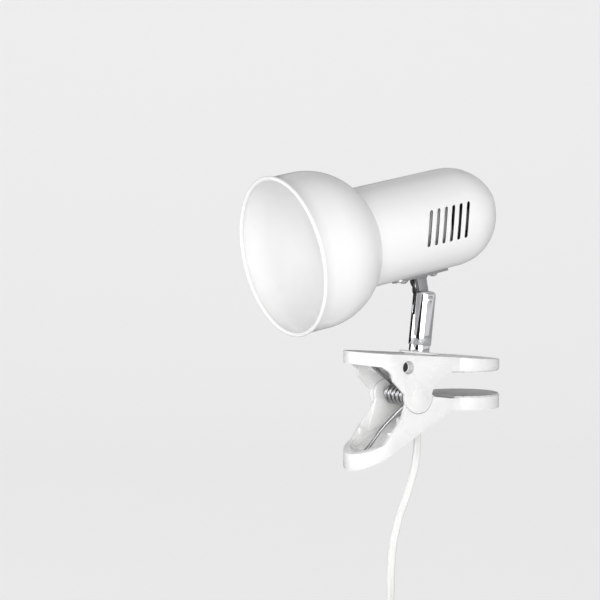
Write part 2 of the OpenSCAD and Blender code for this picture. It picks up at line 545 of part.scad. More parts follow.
// Cord grip: a saddle under the top plate that holds the flat cord below the nipple
module cord_grip() color([0.9, 0.9, 0.88]) difference() {
  union() {
    translate([-46.6, -12, grip_z]) cube([6, 24, 3.4]);
    translate([-41, -6, grip_z]) cube([13, 12, 3.4]);
    // raised collar round the cord
    translate([-33.2, 0, grip_z - 1.6]) cylinder(r = 4.6, h = 2, $fn = fn_mid);
  }
  for (y = [-9, 9]) translate([-43.6, y, -20]) cylinder(r = 1.25, h = 40, $fn = fn_small);
  translate([-33.3, 0, -20]) linear_extrude(height = 30) square([cord_w + 0.4, cord_t + 0.2], center = true);
}
module grip_screws() color([0.6, 0.6, 0.62]) for (y = [-9, 9]) translate([-43.6, y, grip_z]) difference() {
  union() {
    translate([0, 0, -1.2]) cylinder(r1 = 1.9, r2 = 2.5, h = 1.2, $fn = fn_small);
    translate([0, 0, -0.02]) cylinder(r = 1.18, h = 7.5, $fn = fn_small);
  }
  translate([-0.3, -1.6, -2]) cube([0.6, 3.2, 1.3]);
  translate([-1.6, -0.3, -2]) cube([3.2, 0.6, 1.3]);
}

// The cord hangs from the stem through the clip to the switch, then to its coil
cord_top = [[-28.6, 0, 42], [-30.9, 0, 20], [-33.2, 0, 0], [-33.6, 0, -14], [-33.2, 0, -30], [-33, 0, -46], [-35, 0, -62], [-40.5, 0, -78],
  [-46, 0, -91], [-50.5, 0, -106], [-52.6, 0, -122], [-53, 0, -140], [-53, 0, -152]];
module cord_upper() color([0.92, 0.92, 0.9]) intersection() {
  tube(path(cord_top, 5), cord_w / 2, cord_t / 2, 12, [1, 0, 0.1]);
  translate([-200, -50, -300]) cube([400, 100, 326]);
}
module switch_half(s) translate([-53, 0, -181]) rotate([0, 0, 0]) difference() {
  intersection() {
    across(15) { square([24, 46], center = true); for (t = [-1, 1]) translate([0, t * 23]) circle(r = 9, $fn = fn_mid); }
    translate([-30, s > 0 ? 0.05 : -7.5, -40]) cube([60, 7.45, 80]);
    rotate([0, 0, 90]) across(60) union() {
      square([11, 64], center = true);
      square([15, 56], center = true);
    }
  }
  across(11) square([19, 40], center = true);
  translate([0, 0, 0]) cylinder(r = 1.5, h = 80, center = true, $fn = fn_small);
  translate([0, 0, 0]) linear_extrude(height = 90, center = true) square([cord_w + 0.1, cord_t + 0.1], center = true);
  if (s < 0) translate([0, -7, 0]) cube([8.6, 4, 17.6], center = true);
  for (t = [-1, 1]) translate([0, 0, t * 24.4]) rotate([90, 0, 0]) translate([t * 5.4, 0, 0]) cylinder(r = 1.14, h = 11.2, center = true, $fn = fn_small);
  if (s > 0) for (t = [-1, 1]) translate([t * 5.4, 5.6, t * 24.4]) rotate([-90, 0, 0]) cylinder(r = 2, h = 4, $fn = fn_small);
}
module switch_top() color([0.93, 0.93, 0.92]) switch_half(-1);
module switch_bottom() color([0.9, 0.9, 0.89]) switch_half(1);
module switch_rocker() color([0.85, 0.85, 0.84]) translate([-53, -6, -181]) difference() {
  union() {
    rotate([0, 90, 0]) cylinder(r = 2.2, h = 8, center = true, $fn = fn_small);
    rotate([0, 90, 0]) cylinder(r = 1.2, h = 8.5, center = true, $fn = fn_small);
    rotate([90, 0, 90]) linear_extrude(height = 8, center = true) polygon([[-2.2, -8.2], [-1.6, -8.2], [-1.6, 8.2], [-3.3, 8.2], [-1.9, 0]]);
    rotate([90, 0, 90]) linear_extrude(height = 8, center = true) polygon([[-2, -8.2], [0.6, -7], [0.6, 7], [-2, 8.2]]);
  }
  translate([0, -3.4, 4.6]) rotate([90, 0, 0]) cylinder(r = 1.1, h = 1, center = true, $fn = fn_small);
}
module switch_screws() color([0.6, 0.6, 0.62]) for (t = [-1, 1]) translate([-53 + t * 5.4, 6.9, -181 + t * 24.4]) rotate([90, 0, 0]) difference() {
  union() { cylinder(r = 1.9, h = 1.2, $fn = fn_small); cylinder(r = 1.1, h = 10.5, $fn = fn_small); }
  translate([-0.25, -1.4, -1]) cube([0.5, 2.8, 1.5]);
}
module cord_lower() color([0.92, 0.92, 0.9])
  tube(path([[-53, 0, -210], [-53, 0, -216], [-53.6, 0, -224], [-55.6, 0, coil_r + bundle_r - coil_z + 0.4]], 4), cord_w / 2, cord_t / 2, 12, [1, 0, 0.1]);
module cord_coil() color([0.92, 0.92, 0.9]) translate([coil_x, 0, -coil_z]) rotate([90, 0, 0]) rotate_extrude($fn = fn_mid) translate([coil_r, 0]) circle(r = bundle_r, $fn = 20);
module cord_tie() color([0.15, 0.15, 0.15]) translate([coil_x, 0, -coil_z]) rotate([90, 0, 0]) rotate([0, 0, 172]) rotate_extrude(angle = 16, $fn = fn_mid)
  translate([coil_r, 0]) difference() { circle(r = bundle_r + 1, $fn = 20); circle(r = bundle_r + 0.05, $fn = 20); }
module cord_tail() color([0.92, 0.92, 0.9])
  tube([[-38.4, 0, -coil_z - 26.6], [-35, 0, -coil_z - 26.5], [-30, 0, -coil_z - 26.2], [-25, 0, -coil_z - 26], [-22, 0, -coil_z - 26]], cord_w / 2, cord_t / 2, 12, [0, 0, 1]);
// The plug's frame: its own +Z runs out along its pins
module plug_frame() translate([-24, 0, -coil_z - 26]) rotate([0, 90, 0]) children();
module plug_relief() color([0.9, 0.9, 0.89]) plug_frame() difference() {
  union() { cylinder(r1 = 3.4, r2 = 5.6, h = 26, $fn = fn_mid); for (z = [3 : 4 : 22]) translate([0, 0, z]) cylinder(r = 5.7, h = 1.6, $fn = fn_mid); }
  translate([0, 0, -1]) linear_extrude(height = 3.2) square([cord_w + 0.04, cord_t + 0.04], center = true);
}
module plug_body() color([0.92, 0.92, 0.9]) plug_frame() translate([0, 0, 26]) difference() {
  intersection() {
    across(13.7) { polygon([[-8, 0], [8, 0], [17.6, 14], [17.6, 33], [-17.6, 33], [-17.6, 14]]); }
    rotate([0, 0, 90]) across(60) polygon([[-6.85, 0], [6.85, 0], [6.85, 30], [5, 33], [-5, 33], [-6.85, 30]]);
  }
  for (s = [-1, 1]) translate([s * 9.5, 0, 12]) cylinder(r = 1.5, h = 30, $fn = fn_small);
}
module plug_pins() color([0.8, 0.78, 0.7]) plug_frame() for (s = [-1, 1]) translate([s * 9.5, 0, 38]) {
  cylinder(r = 1.5, h = 22, $fn = fn_mid);
  translate([0, 0, 21.01]) cylinder(r = 2, h = 17.99, $fn = fn_mid);
  translate([0, 0, 39]) cylinder(r1 = 2, r2 = 1.3, h = 1, $fn = fn_mid);
}

front_shade();
rear_housing();
lamp_holder();
holder_contacts();
holder_strap();
strap_screws();
bulb_reflector();
bulb_lens();
bulb_base();
bulb_pins();
holder_wires();
lead_grommet();
hinge_bracket();
bracket_screws();
bracket_nuts();
tilt_pin();
tilt_washers();
head_lead();
stem_tube();
stem_nipple();
swivel_collar();
base_flange();
swivel_washer();
stem_nut();
upper_lever();
lower_lever();
pivot_pin();
pin_ring();
torsion_spring();
spacer_bar();
side_screws();
upper_grip();
lower_grip();
cord_grip();
grip_screws();
cord_upper();
switch_top();
switch_bottom();
switch_rocker();
switch_screws();
cord_lower();
cord_coil();
cord_tie();
cord_tail();
plug_relief();
plug_body();
plug_pins();
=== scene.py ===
# %% [markdown]
# # A clip-on reading lamp, dressed in Blender
# The lamp is a spun steel shade on a round steel housing, a chromed stem, and a moulded clip that
# bites a shelf. Its solids arrive finished from the CAD step: this lesson gives them their curves
# at full smoothness, their cord, and their finishes. Nothing moves: the scene is in metres, and
# shapes are worked out in millimetres from the CAD's own sizes.

# %% Load the frame
import json
import math
import bmesh
import bpy
import numpy as np
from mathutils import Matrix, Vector

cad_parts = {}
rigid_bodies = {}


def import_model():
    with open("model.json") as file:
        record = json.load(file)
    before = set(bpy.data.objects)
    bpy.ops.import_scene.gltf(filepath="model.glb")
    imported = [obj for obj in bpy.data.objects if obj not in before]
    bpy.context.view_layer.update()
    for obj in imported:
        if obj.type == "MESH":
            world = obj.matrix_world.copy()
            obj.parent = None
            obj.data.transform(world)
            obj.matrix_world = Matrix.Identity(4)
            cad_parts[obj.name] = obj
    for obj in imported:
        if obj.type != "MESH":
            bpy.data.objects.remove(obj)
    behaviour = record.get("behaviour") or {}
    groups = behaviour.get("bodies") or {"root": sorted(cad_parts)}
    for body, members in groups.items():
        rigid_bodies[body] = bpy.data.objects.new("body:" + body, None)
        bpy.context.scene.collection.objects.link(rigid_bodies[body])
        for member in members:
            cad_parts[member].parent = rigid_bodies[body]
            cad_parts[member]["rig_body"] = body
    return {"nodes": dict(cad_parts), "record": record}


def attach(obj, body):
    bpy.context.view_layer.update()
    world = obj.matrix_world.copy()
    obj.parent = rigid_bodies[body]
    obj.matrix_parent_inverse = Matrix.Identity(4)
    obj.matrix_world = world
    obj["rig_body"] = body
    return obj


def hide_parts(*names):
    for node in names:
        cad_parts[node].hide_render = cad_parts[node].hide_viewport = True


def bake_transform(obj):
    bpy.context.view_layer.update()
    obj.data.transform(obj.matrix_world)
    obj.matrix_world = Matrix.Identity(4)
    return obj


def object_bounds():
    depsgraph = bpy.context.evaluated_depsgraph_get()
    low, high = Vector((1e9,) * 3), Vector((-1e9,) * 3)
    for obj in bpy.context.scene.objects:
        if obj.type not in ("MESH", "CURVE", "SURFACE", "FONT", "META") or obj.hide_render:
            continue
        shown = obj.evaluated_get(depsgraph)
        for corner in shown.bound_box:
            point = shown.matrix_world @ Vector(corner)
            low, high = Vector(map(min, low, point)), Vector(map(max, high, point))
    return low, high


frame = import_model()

cad_low, cad_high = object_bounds()
print("CAD box in mm:", [round(v * 1000, 1) for v in (*cad_low, *cad_high)])

# %% [markdown]
# ## Where the camera stands
# A long lens, a little above the shelf and to the left of the lamp. The distance and the lens were
# found together, so that the shade's mouth, the stem and the jaws all keep their proportions.

# %% Camera
def direction(azimuth, elevation):
    """Unit vector from the lamp towards a viewer at these angles, in degrees."""
    a, e = math.radians(azimuth), math.radians(elevation)
    return np.array([math.sin(a) * math.cos(e), -math.cos(a) * math.cos(e), math.sin(e)])


def added(name, data):
    """A new object in the scene."""
    obj = bpy.data.objects.new(name, data)
    bpy.context.scene.collection.objects.link(obj)
    return obj


def aimed(obj, place_at):
    """Puts a camera or a light at its place, looking at the lamp."""
    obj.location = place_at
    obj.rotation_euler = Vector(look_at - np.array(obj.location)).to_track_quat("-Z", "Y").to_euler()


VIEW_AZIMUTH, VIEW_ELEVATION, VIEW_DISTANCE = -30.7, 2.98, 1.1282
look_at = np.array([-0.1202, 0.0, 0.0481])
camera = added("camera", bpy.data.cameras.new("camera"))
aimed(camera, look_at + direction(VIEW_AZIMUTH, VIEW_ELEVATION) * VIEW_DISTANCE)
camera.data.sensor_width, camera.data.lens = 36.0, 110.4
camera.data.clip_start, camera.data.clip_end = 0.05, 20.0
bpy.context.scene.camera = camera
print("camera at", [round(v, 3) for v in camera.location])

# %% [markdown]
# ## Tools for numpy surfaces
# Each new piece is a grid of points: row i and column j hold one point of the surface, worked out
# for the whole grid at once. The grid becomes quads. Three frames carry the pieces into place: the
# lamp's own, the leaning stem's (`SEAT`) and the tilted head's (`HEAD`), whose x runs back from the
# shade's mouth. The sizes in capitals are the CAD's, in millimetres and degrees: the clip's top
# plate, the stem on it, the tilt pin's place in stem and head, and the housing.

# %% Frames
PLATE_TOP, PLATE_THICK, PLATE_SLOPE = 8.5, 2.4, math.tan(math.radians(4.5))
STEM_AT, STEM_LIFT, STEM_LEAN, STEM_R = -32, 0.5, 6.5, 7.25
PIN_HEIGHT, HEAD_PITCH, PIN_BACK, PIN_DROP = 34.5, 11.0, 98.5, 48.3
BARREL_R, SHEET, NECK = 31.7, 0.8, 53.6


def shift(x, y, z):
    """The matrix that moves points by x, y and z."""
    m = np.eye(4)
    m[:3, 3] = x, y, z
    return m


def turn_y(degrees):
    """The matrix that turns points about y: x becomes x cos a + z sin a, z becomes z cos a - x sin a."""
    c, s = math.cos(math.radians(degrees)), math.sin(math.radians(degrees))
    m = np.eye(4)
    m[0, 0], m[0, 2], m[2, 0], m[2, 2] = c, s, -s, c
    return m


WORLD = np.eye(4)
SEAT = shift(STEM_AT, 0, PLATE_TOP - STEM_AT * PLATE_SLOPE + STEM_LIFT) @ turn_y(STEM_LEAN)
HEAD = SEAT @ shift(0, 0, PIN_HEIGHT) @ turn_y(-STEM_LEAN - HEAD_PITCH) @ shift(-PIN_BACK, 0, PIN_DROP)


def placed(points, frame_matrix):
    """Millimetre points of a local frame as metre points of the lamp's frame."""
    return (points @ frame_matrix[:3, :3].T + frame_matrix[:3, 3]) * 0.001


print("tilt pin at", placed(np.array([PIN_BACK, 0, -PIN_DROP]), HEAD).round(5))

# %% Grids into meshes
def quads(nu, nv, wrap_u, wrap_v):
    """Corner numbers of every quad in an nu by nv grid, round the seams where it wraps."""
    i, j = np.meshgrid(np.arange(nu - (not wrap_u)), np.arange(nv - (not wrap_v)), indexing="ij")
    a, b = (i + 1) % nu, (j + 1) % nv
    return np.stack([i * nv + j, a * nv + j, a * nv + b, i * nv + b], -1).reshape(-1, 4)


def mesh_object(name, points, faces, uv=None):
    """An object from a point array and a list of faces, with an optional UV point per vertex."""
    data = bpy.data.meshes.new(name)
    data.from_pydata(points.reshape(-1, 3).tolist(), [], [list(map(int, f)) for f in faces])
    if uv is not None:
        corner = np.zeros(len(data.loops), np.int32)
        data.loops.foreach_get("vertex_index", corner)
        layer = data.uv_layers.new(name="surface")
        layer.data.foreach_set("uv", uv.reshape(-1, 2)[corner].astype(np.float32).ravel())
    return added(name, data)


def smooth(data, sharp):
    """Smooth shading, except across edges sharper than an angle."""
    data.polygons.foreach_set("use_smooth", np.ones(len(data.polygons), bool))
    data.set_sharp_from_angle(angle=math.radians(sharp))


def tidy(obj, sharp=35.0, merge=1e-6):
    """Welds seams and poles, turns the faces outwards and shades smooth except at sharp edges."""
    bm = bmesh.new()
    bm.from_mesh(obj.data)
    bmesh.ops.remove_doubles(bm, verts=bm.verts, dist=merge)
    bmesh.ops.dissolve_degenerate(bm, edges=bm.edges, dist=merge)
    bmesh.ops.recalc_face_normals(bm, faces=bm.faces)
    bm.to_mesh(obj.data)
    bm.free()
    smooth(obj.data, sharp)
    obj.data.update()
    return obj


def bevelled(obj, width_mm, segments, angle):
    """Rounds the edges that are sharper than an angle."""
    b = obj.modifiers.new("edge", "BEVEL")
    b.width, b.segments = width_mm * 0.001, segments
    b.limit_method, b.angle_limit = "ANGLE", math.radians(angle)


def bake(obj, sharp=35.0):
    """Works the object's modifiers into its mesh."""
    graph = bpy.context.evaluated_depsgraph_get()
    graph.update()
    made = bpy.data.meshes.new_from_object(obj.evaluated_get(graph))
    obj.modifiers.clear()
    obj.data = made
    made.set_sharp_from_angle(angle=math.radians(sharp))


def finished(obj, material, *stands_for, slot):
    """Gives a piece its finish, or a list of two, and hides the CAD nodes that it stands for."""
    obj.data.materials.clear()
    for m in material if isinstance(material, list) else [material]:
        obj.data.materials.append(m)
    if stands_for:
        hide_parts(*stands_for)
    print(f"{obj.name}: {len(obj.data.polygons)} faces")


def fitted(obj, material, body, *stands_for, slot):
    """A finished piece that rides on one body."""
    finished(obj, material, *stands_for, slot=slot)
    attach(obj, body)


# %% [markdown]
# ## Tubes along a route
# A cord, wire or spring is one profile carried along a smooth spline. At each point it sits in the
# plane across the path, and a side vector says which way its wide side faces, so that a flat cord
# does not corkscrew.

# %% Splines and sweeps
def ramp(value, start, length):
    """0 up to the start, 1 from the end of the length, and a straight line between."""
    return np.clip((value - start) / length, 0, 1)


def eased(t):
    """The same 0 to 1, but leaving and arriving softly: 3 t^2 - 2 t^3."""
    return t * t * (3 - 2 * t)


def distance_along(path):
    """How far along the path each of its points lies."""
    return np.concatenate([[0], np.cumsum(np.linalg.norm(np.diff(path, axis=0), axis=1))])


def spline(points, steps):
    """Catmull-Rom: each span is a cubic set by its two ends and their neighbours."""
    p = np.asarray(points, float)
    before, after = np.vstack([p[:1], p[:-1]]), np.vstack([p[1:], p[-1:]])
    later = np.vstack([p[2:], p[-1:], p[-1:]])
    a, b, c, d = before[:-1, None], p[:-1, None], after[:-1, None], later[:-1, None]
    t = (np.arange(steps) / steps)[None, :, None]
    bend, twist = 2 * a - 5 * b + 4 * c - d, 3 * b - a - 3 * c + d
    q = 0.5 * (2 * b + (c - a) * t + bend * t**2 + twist * t**3)
    return np.vstack([q.reshape(-1, 3), p[-1:]])


def evenly(path, step):
    """The same route with points a fixed distance apart."""
    along = distance_along(path)
    at = np.linspace(0, along[-1], max(3, int(round(along[-1] / step)) + 1))
    return np.stack([np.interp(at, along, path[:, k]) for k in range(3)], 1)


def route_length(path):
    """The sum of the straight steps between the path's points."""
    return float(distance_along(path)[-1])


def swept(name, path, profile, side, frame_matrix=WORLD):
    """Point (i, j) is path[i] + u * profile[j, 0] + v * profile[j, 1], where u is the side vector
    made square to the path and v is square to both. Each end is closed by one face."""
    path = np.asarray(path, float)
    run = np.gradient(path, axis=0)
    run /= np.linalg.norm(run, axis=1, keepdims=True)
    side = np.broadcast_to(np.asarray(side, float), path.shape)
    u = side - run * (side * run).sum(1, keepdims=True)
    u /= np.linalg.norm(u, axis=1, keepdims=True)
    v = np.cross(run, u)
    grid = path[:, None] + (u[:, None] * profile[None, :, :1] + v[:, None] * profile[None, :, 1:])
    n, k = grid.shape[:2]
    faces = quads(n, k, False, True).tolist()
    faces += [list(range(k)), [(n - 1) * k + j for j in range(k)][::-1]]
    along, across = distance_along(path)[:, None] * 0.001, np.linspace(0, 1, k)[None, :]
    uv = np.stack(np.broadcast_arrays(along, across), -1)
    return tidy(mesh_object(name, placed(grid.reshape(-1, 3), frame_matrix), faces, uv), 50.0)


def round_profile(radius, n=12):
    """A circle: radius times the cosine and sine of n even angles."""
    t = np.linspace(0, 2 * math.pi, n, endpoint=False)
    return np.stack([radius * np.cos(t), radius * np.sin(t)], 1)


# %% [markdown]
# ## The cord
# A flat twin cord, two cores side by side in white vinyl, 4.9 by 3 mm. It leaves the hollow stem,
# passes the cord grip, drops through the slot in the lower lever and hangs in a slack curve to the
# switch. More than a metre beyond it is wound into a coil with a tie round it, and ends in the
# plug. The hanging route repeats the CAD's chosen points, because slack is easier to place one by
# one than to compute, and the coil comes from a loop. A flat cord winds with its broad side against
# the turn below, so the turns stack in four layers of two.

# %% Flat twin profile
def twin_profile(width=4.9, thick=3.0, n=24):
    """An oval with a shallow groove at the middle of each broad side. With their signs put back,
    x = width/2 |cos t|^0.8 and y = thick/2 |sin t|^0.62 (1 - 0.2 exp(-(x / 0.5)^2))."""
    t = np.linspace(0, 2 * math.pi, n, endpoint=False)
    c, s = np.cos(t), np.sin(t)
    x = width / 2 * np.sign(c) * np.abs(c) ** 0.8
    y = thick / 2 * np.sign(s) * np.abs(s) ** 0.62 * (1 - 0.2 * np.exp(-((x / 0.5) ** 2)))
    return np.stack([x, y], 1)


# %% Hanging stretch
hang = evenly(spline([
    [-30.1, 0, 26], [-31.6, 0, 14], [-33.2, 0, 0], [-33.6, 0, -14], [-33.2, 0, -30], [-33, 0, -46],
    [-35, 0, -62], [-40.5, 0, -78], [-46, 0, -91], [-50.5, 0, -106], [-52.6, 0, -122], [-53, 0, -140],
    [-53, 0, -156]], 12), 2.5)
# The cord is held flat in the clip and in the switch, and turns a little where it hangs free.
free = eased(ramp(-hang[:, 2], 44, 30) * ramp(hang[:, 2], -148, 26))[:, None]
held_side, free_side = np.array([1.0, 0, 0.1]), np.array([0.86, -0.51, 0.05])
hang_side = held_side * (1 - free) + free_side * free
cord_hang = swept("cord_hanging", hang, twin_profile(), hang_side)
print("hanging stretch", round(route_length(hang) / 1000, 3), "m")

# %% Coiled stretch
def coil_route(centre=(-52.0, -262.0), mean=25.0, first=100.0, last=2790.0):
    """Angle a runs from first to last. Turn k keeps to its own seat in the bundle, a radial and a
    sideways offset from the table, and slides to the next seat over a twelfth of a turn. The first
    80 degrees come in from outside and from one side."""
    a = np.arange(first, last + 1, 10.0)
    turn = (a - 180.0) / 360.0
    radial = np.array([-4.5, -4.5, -1.5, -1.5, 1.5, 1.5, 4.5, 4.5])
    across = np.array([-2.5, 2.5, 2.5, -2.5, -2.5, 2.5, 2.5, -2.5])
    seat = np.clip(np.floor(turn), 0, 7).astype(int)
    after = np.clip(seat + 1, 0, 7)
    t = eased(np.clip((turn - np.floor(turn) - 11 / 12) * 12, 0, 1) * (turn > 0))
    r = mean + radial[seat] * (1 - t) + radial[after] * t
    y = across[seat] * (1 - t) + across[after] * t
    enter = ramp(180.0 - a, 0, 80)
    r = r + 14.0 * enter**1.5
    y = y - 5.4 * np.sin(np.clip(enter * 1.6, 0, 1) * math.pi / 2) ** 2 * (enter < 0.99)
    rad = np.radians(a)
    return np.stack([centre[0] + r * np.cos(rad), y, centre[1] + r * np.sin(rad)], 1)


coil = coil_route()
lead_in = spline([[-53, 0, -206], [-53, -0.6, -213], [-53.4, -4.2, -219], coil[0]], 5)[:-1]
lead_out = spline([coil[-1], [-44, -2.2, -291.4], [-36, -1.0, -289.9], [-29, -0.2, -288.4],
                   [-24, 0, -288], [-20, 0, -288]], 5)[1:]
COIL_STEP = 3.2
coiled = evenly(spline(np.vstack([lead_in, coil, lead_out]), 3), COIL_STEP)
print("coiled stretch", round(route_length(coiled) / 1000, 3), "m")

# %% Coiled stretch as a mesh
run = np.arange(len(coiled)) * COIL_STEP
lie_flat, lift_off = ramp(run, 30, 25)[:, None], ramp(run[::-1], 8, 30)[:, None]
sideways, upwards = np.array([[0, 1.0, 0]]), np.array([[0, 0, 1.0]])
flat_side = held_side * (1 - lie_flat) + sideways * lie_flat * lift_off + upwards * (1 - lift_off)
cord_coiled = swept("cord_coiled", coiled, twin_profile(n=18), flat_side)
print("cord faces:", len(cord_hang.data.polygons), "hanging,", len(cord_coiled.data.polygons), "coiled")

# %% [markdown]
# ## Finishes
# Paint, moulded plastic and plated metal each show a little of how they were made. The effects
# they share are node groups: a group only puts out heights, masks and tones, and each material
# places it with its own values. They read Object coordinates, and the woven one its UV map, which
# stay with the piece as its body moves.

# %% Node helpers
def fill(tree, n, inputs):
    """Gives each input its value, or a link if the value is another node's output."""
    for k, v in inputs.items():
        if isinstance(v, bpy.types.NodeSocket):
            tree.links.new(v, n.inputs[k])
        else:
            n.inputs[k].default_value = v
    return n


def node(tree, kind, inputs=None, **settings):
    """A new shader node with its settings made and its inputs filled."""
    n = tree.nodes.new("ShaderNode" + kind)
    for k, v in settings.items():
        setattr(n, k, v)
    return fill(tree, n, inputs or {})


def noise(tree, vector, scale, detail, **inputs):
    """Cloudy noise: its height."""
    inputs = {"Vector": vector, "Scale": scale, "Detail": detail, **inputs}
    return node(tree, "TexNoise", inputs).outputs["Fac"]


def maths(tree, operation, a, b=0.0):
    """One sum on one or two values."""
    return node(tree, "Math", {0: a, 1: b}, operation=operation).outputs[0]


def times(tree, a, b):
    return maths(tree, "MULTIPLY", a, b)


def mixture(tree, a, share_a, b, share_b):
    """a * share_a + b * share_b."""
    return maths(tree, "ADD", times(tree, a, share_a), times(tree, b, share_b))


def spread_to(tree, value, low, high, to_low=0.0, to_high=1.0):
    """Maps a value from one range onto another, clamped."""
    ends = {"From Min": low, "From Max": high, "To Min": to_low, "To Max": to_high}
    return node(tree, "MapRange", {"Value": value, **ends}).outputs["Result"]


def group(name, inputs, outputs):
    """A node group with named sockets, a number for a float input and a triple for a vector. It
    gives the group, a function that takes what goes out, and the inputs in order."""
    g = bpy.data.node_groups.new(name, "ShaderNodeTree")
    for label, value in inputs.items():
        kind = "NodeSocketVector" if isinstance(value, tuple) else "NodeSocketFloat"
        g.interface.new_socket(name=label, in_out="INPUT", socket_type=kind).default_value = value
    for label in outputs:
        g.interface.new_socket(name=label, in_out="OUTPUT", socket_type="NodeSocketFloat")
    start, end = g.nodes.new("NodeGroupInput"), g.nodes.new("NodeGroupOutput")
    return g, lambda **found: fill(g, end, found), *[start.outputs[label] for label in inputs]


# %% Moulded and handled surfaces
AT = {"Vector": (0, 0, 0)}
skin, give, vector, grain = group("moulded_skin", {**AT, "Grain": 2500.0}, ["Height", "Cloud"])
fine = noise(skin, vector, grain, 3.0, Roughness=0.6)
slow = noise(skin, vector, 38.0, 4.0, Roughness=0.55)
give(Height=fine, Cloud=spread_to(skin, slow, 0.3, 0.7))

smear, give, vector, size = group("handling_smears", {**AT, "Size": 60.0}, ["Mask"])
where = noise(smear, vector, size, 2.0, Distortion=1.2)
rings = {"Vector": vector, "Scale": 420.0, "Distortion": 6.0, "Detail": 2.0}
ridge = node(smear, "TexWave", rings, wave_type="RINGS").outputs["Fac"]
ridged = maths(smear, "ADD", times(smear, ridge, 0.5), 0.5)
give(Mask=times(smear, spread_to(smear, where, 0.4, 0.95), ridged))

dusty = {**AT, "Density": 500.0, "Size": 0.12}
speck, give, vector, density, size = group("dust_specks", dusty, ["Mask"])
dots = node(speck, "TexVoronoi", {"Vector": vector, "Scale": density, "Randomness": 1.0})
thin = noise(speck, vector, 90.0, 1.0)
near_dot = maths(speck, "LESS_THAN", dots.outputs["Distance"], size)
give(Mask=times(speck, near_dot, spread_to(speck, thin, 0.5, 0.65)))

# %% Drawn, plated and woven surfaces
ways = {**AT, "Across": 900.0, "Along": 12.0}
lines, give, vector, across, along = group("drawn_lines", ways, ["Height"])
stretch = node(lines, "CombineXYZ", {"X": along, "Y": across, "Z": across})
drawn = node(lines, "VectorMath", {0: vector, 1: stretch.outputs[0]}, operation="MULTIPLY")
give(Height=noise(lines, drawn.outputs[0], 1.0, 4.0, Roughness=0.7))

crystal, give, vector, size = group("plating_bloom", {**AT, "Size": 900.0}, ["Tone", "Height"])
cells = node(crystal, "TexVoronoi", {"Vector": vector, "Scale": size}, feature="F1")
mottle = noise(crystal, vector, 240.0, 5.0, Roughness=0.65)
give(Tone=times(crystal, cells.outputs["Color"], mottle), Height=mottle)

braids = {"Along": 1200.0, "Round": 12.0}
weave, give, along, round_it = group("braided_sleeve", braids, ["Height", "Thread"])
uv = node(weave, "UVMap", uv_map="surface")
split = node(weave, "SeparateXYZ", {"Vector": uv.outputs[0]})
run_a, run_b = times(weave, split.outputs["X"], along), times(weave, split.outputs["Y"], round_it)
one, two = [maths(weave, "SINE", times(weave, maths(weave, way, run_a, run_b), 2 * math.pi))
            for way in ("ADD", "SUBTRACT")]
give(Height=times(weave, one, two), Thread=spread_to(weave, times(weave, one, two), -0.6, 0.6))
print("groups:", [g.name for g in bpy.data.node_groups])

# %% Material maker
def material(name, build, **plain):
    """A Principled material. Values that are the same all over go straight onto the shader's
    sockets, and build(tree, shader, vector) adds what changes over the surface."""
    m = bpy.data.materials.new(name)
    m.use_nodes = True
    tree = m.node_tree
    shader = tree.nodes["Principled BSDF"]
    for k, v in plain.items():
        shader.inputs[k.upper() if k == "ior" else k.replace("_", " ").title()].default_value = v
    coords = node(tree, "TexCoord")
    build(tree, shader, coords.outputs["Object"])
    return m


def place(tree, g, **values):
    """The outputs of a shared effect, placed in a material with its own values."""
    return fill(tree, node(tree, "Group", node_tree=g), values).outputs


def tint(tree, shader, mask, first, second):
    """Base colour between two close tones, by a mask."""
    ends = {"A": (*first, 1), "B": (*second, 1)}
    mix = node(tree, "Mix", {"Factor": mask, **ends}, data_type="RGBA")
    tree.links.new(mix.outputs["Result"], shader.inputs["Base Color"])


def bump(tree, shader, height, distance):
    """Tilts the surface's normal by a height map, whose depth is in metres."""
    b = node(tree, "Bump", {"Height": height, "Distance": distance, "Strength": 1.0})
    tree.links.new(b.outputs["Normal"], shader.inputs["Normal"])


def rough(tree, shader, value, low, high):
    """Roughness between two limits, by a value from 0 to 1."""
    tree.links.new(spread_to(tree, value, 0.0, 1.0, low, high), shader.inputs["Roughness"])


# %% [markdown]
# ### Enamel
# The shade and housing are sprayed and stoved: a glossy white film that keeps a faint orange peel
# and a few specks of dust. Inside the shade the film is flatter, and a little whiter as painted
# light, to lift the inside's brightness. The housing's inside is near-black as painted shade, so the
# vent slots read dark. Two tones less than two per cent apart are enough for the eye.

# %% Painted steel
def enamel(low_rough, high_rough, peel, first, second):
    """Slow clouds and dust set the tone, clouds and smears the gloss, and fine noise the peel."""
    def build(tree, shader, vector):
        s = place(tree, skin, Vector=vector, Grain=700.0)
        h = place(tree, smear, Vector=vector, Size=45.0)
        d = place(tree, speck, Vector=vector, Density=420.0, Size=0.07)
        tint(tree, shader, mixture(tree, s["Cloud"], 0.6, d["Mask"], 0.4), first, second)
        rough(tree, shader, mixture(tree, s["Cloud"], 0.6, h["Mask"], 0.25), low_rough, high_rough)
        bump(tree, shader, s["Height"], peel)
    return build


def housing_shade_paint(tree, shader, vector):
    """Near-black painted shade for the housing's inside: small crystals set its tone, and mottling its gloss
    and grain.
    """
    b = place(tree, crystal, Vector=vector, Size=700.0)
    # Painted shade: near-black tones stand for the shade inside the housing, seen through the vent slots.
    tint(tree, shader, b["Tone"], (0.060, 0.060, 0.062), (0.035, 0.035, 0.037))
    rough(tree, shader, b["Height"], 0.45, 0.6)
    bump(tree, shader, b["Height"], 0.00002)


outside = enamel(0.28, 0.34, 0.00001, (0.870, 0.869, 0.862), (0.857, 0.855, 0.847))
# Partly painted light: the lining's tones are whiter than the outside, to lift the inside of the shade.
inside = enamel(0.42, 0.52, 0.000012, (0.930, 0.929, 0.924), (0.918, 0.916, 0.910))
enamel_gloss = material("enamel_gloss", outside, coat_weight=0.25, coat_roughness=0.08)
enamel_lining = material("enamel_lining", inside)
housing_inside_painted_shade = material("housing_inside_painted_shade", housing_shade_paint)
print("painted sheet:", enamel_gloss.name, enamel_lining.name, housing_inside_painted_shade.name)

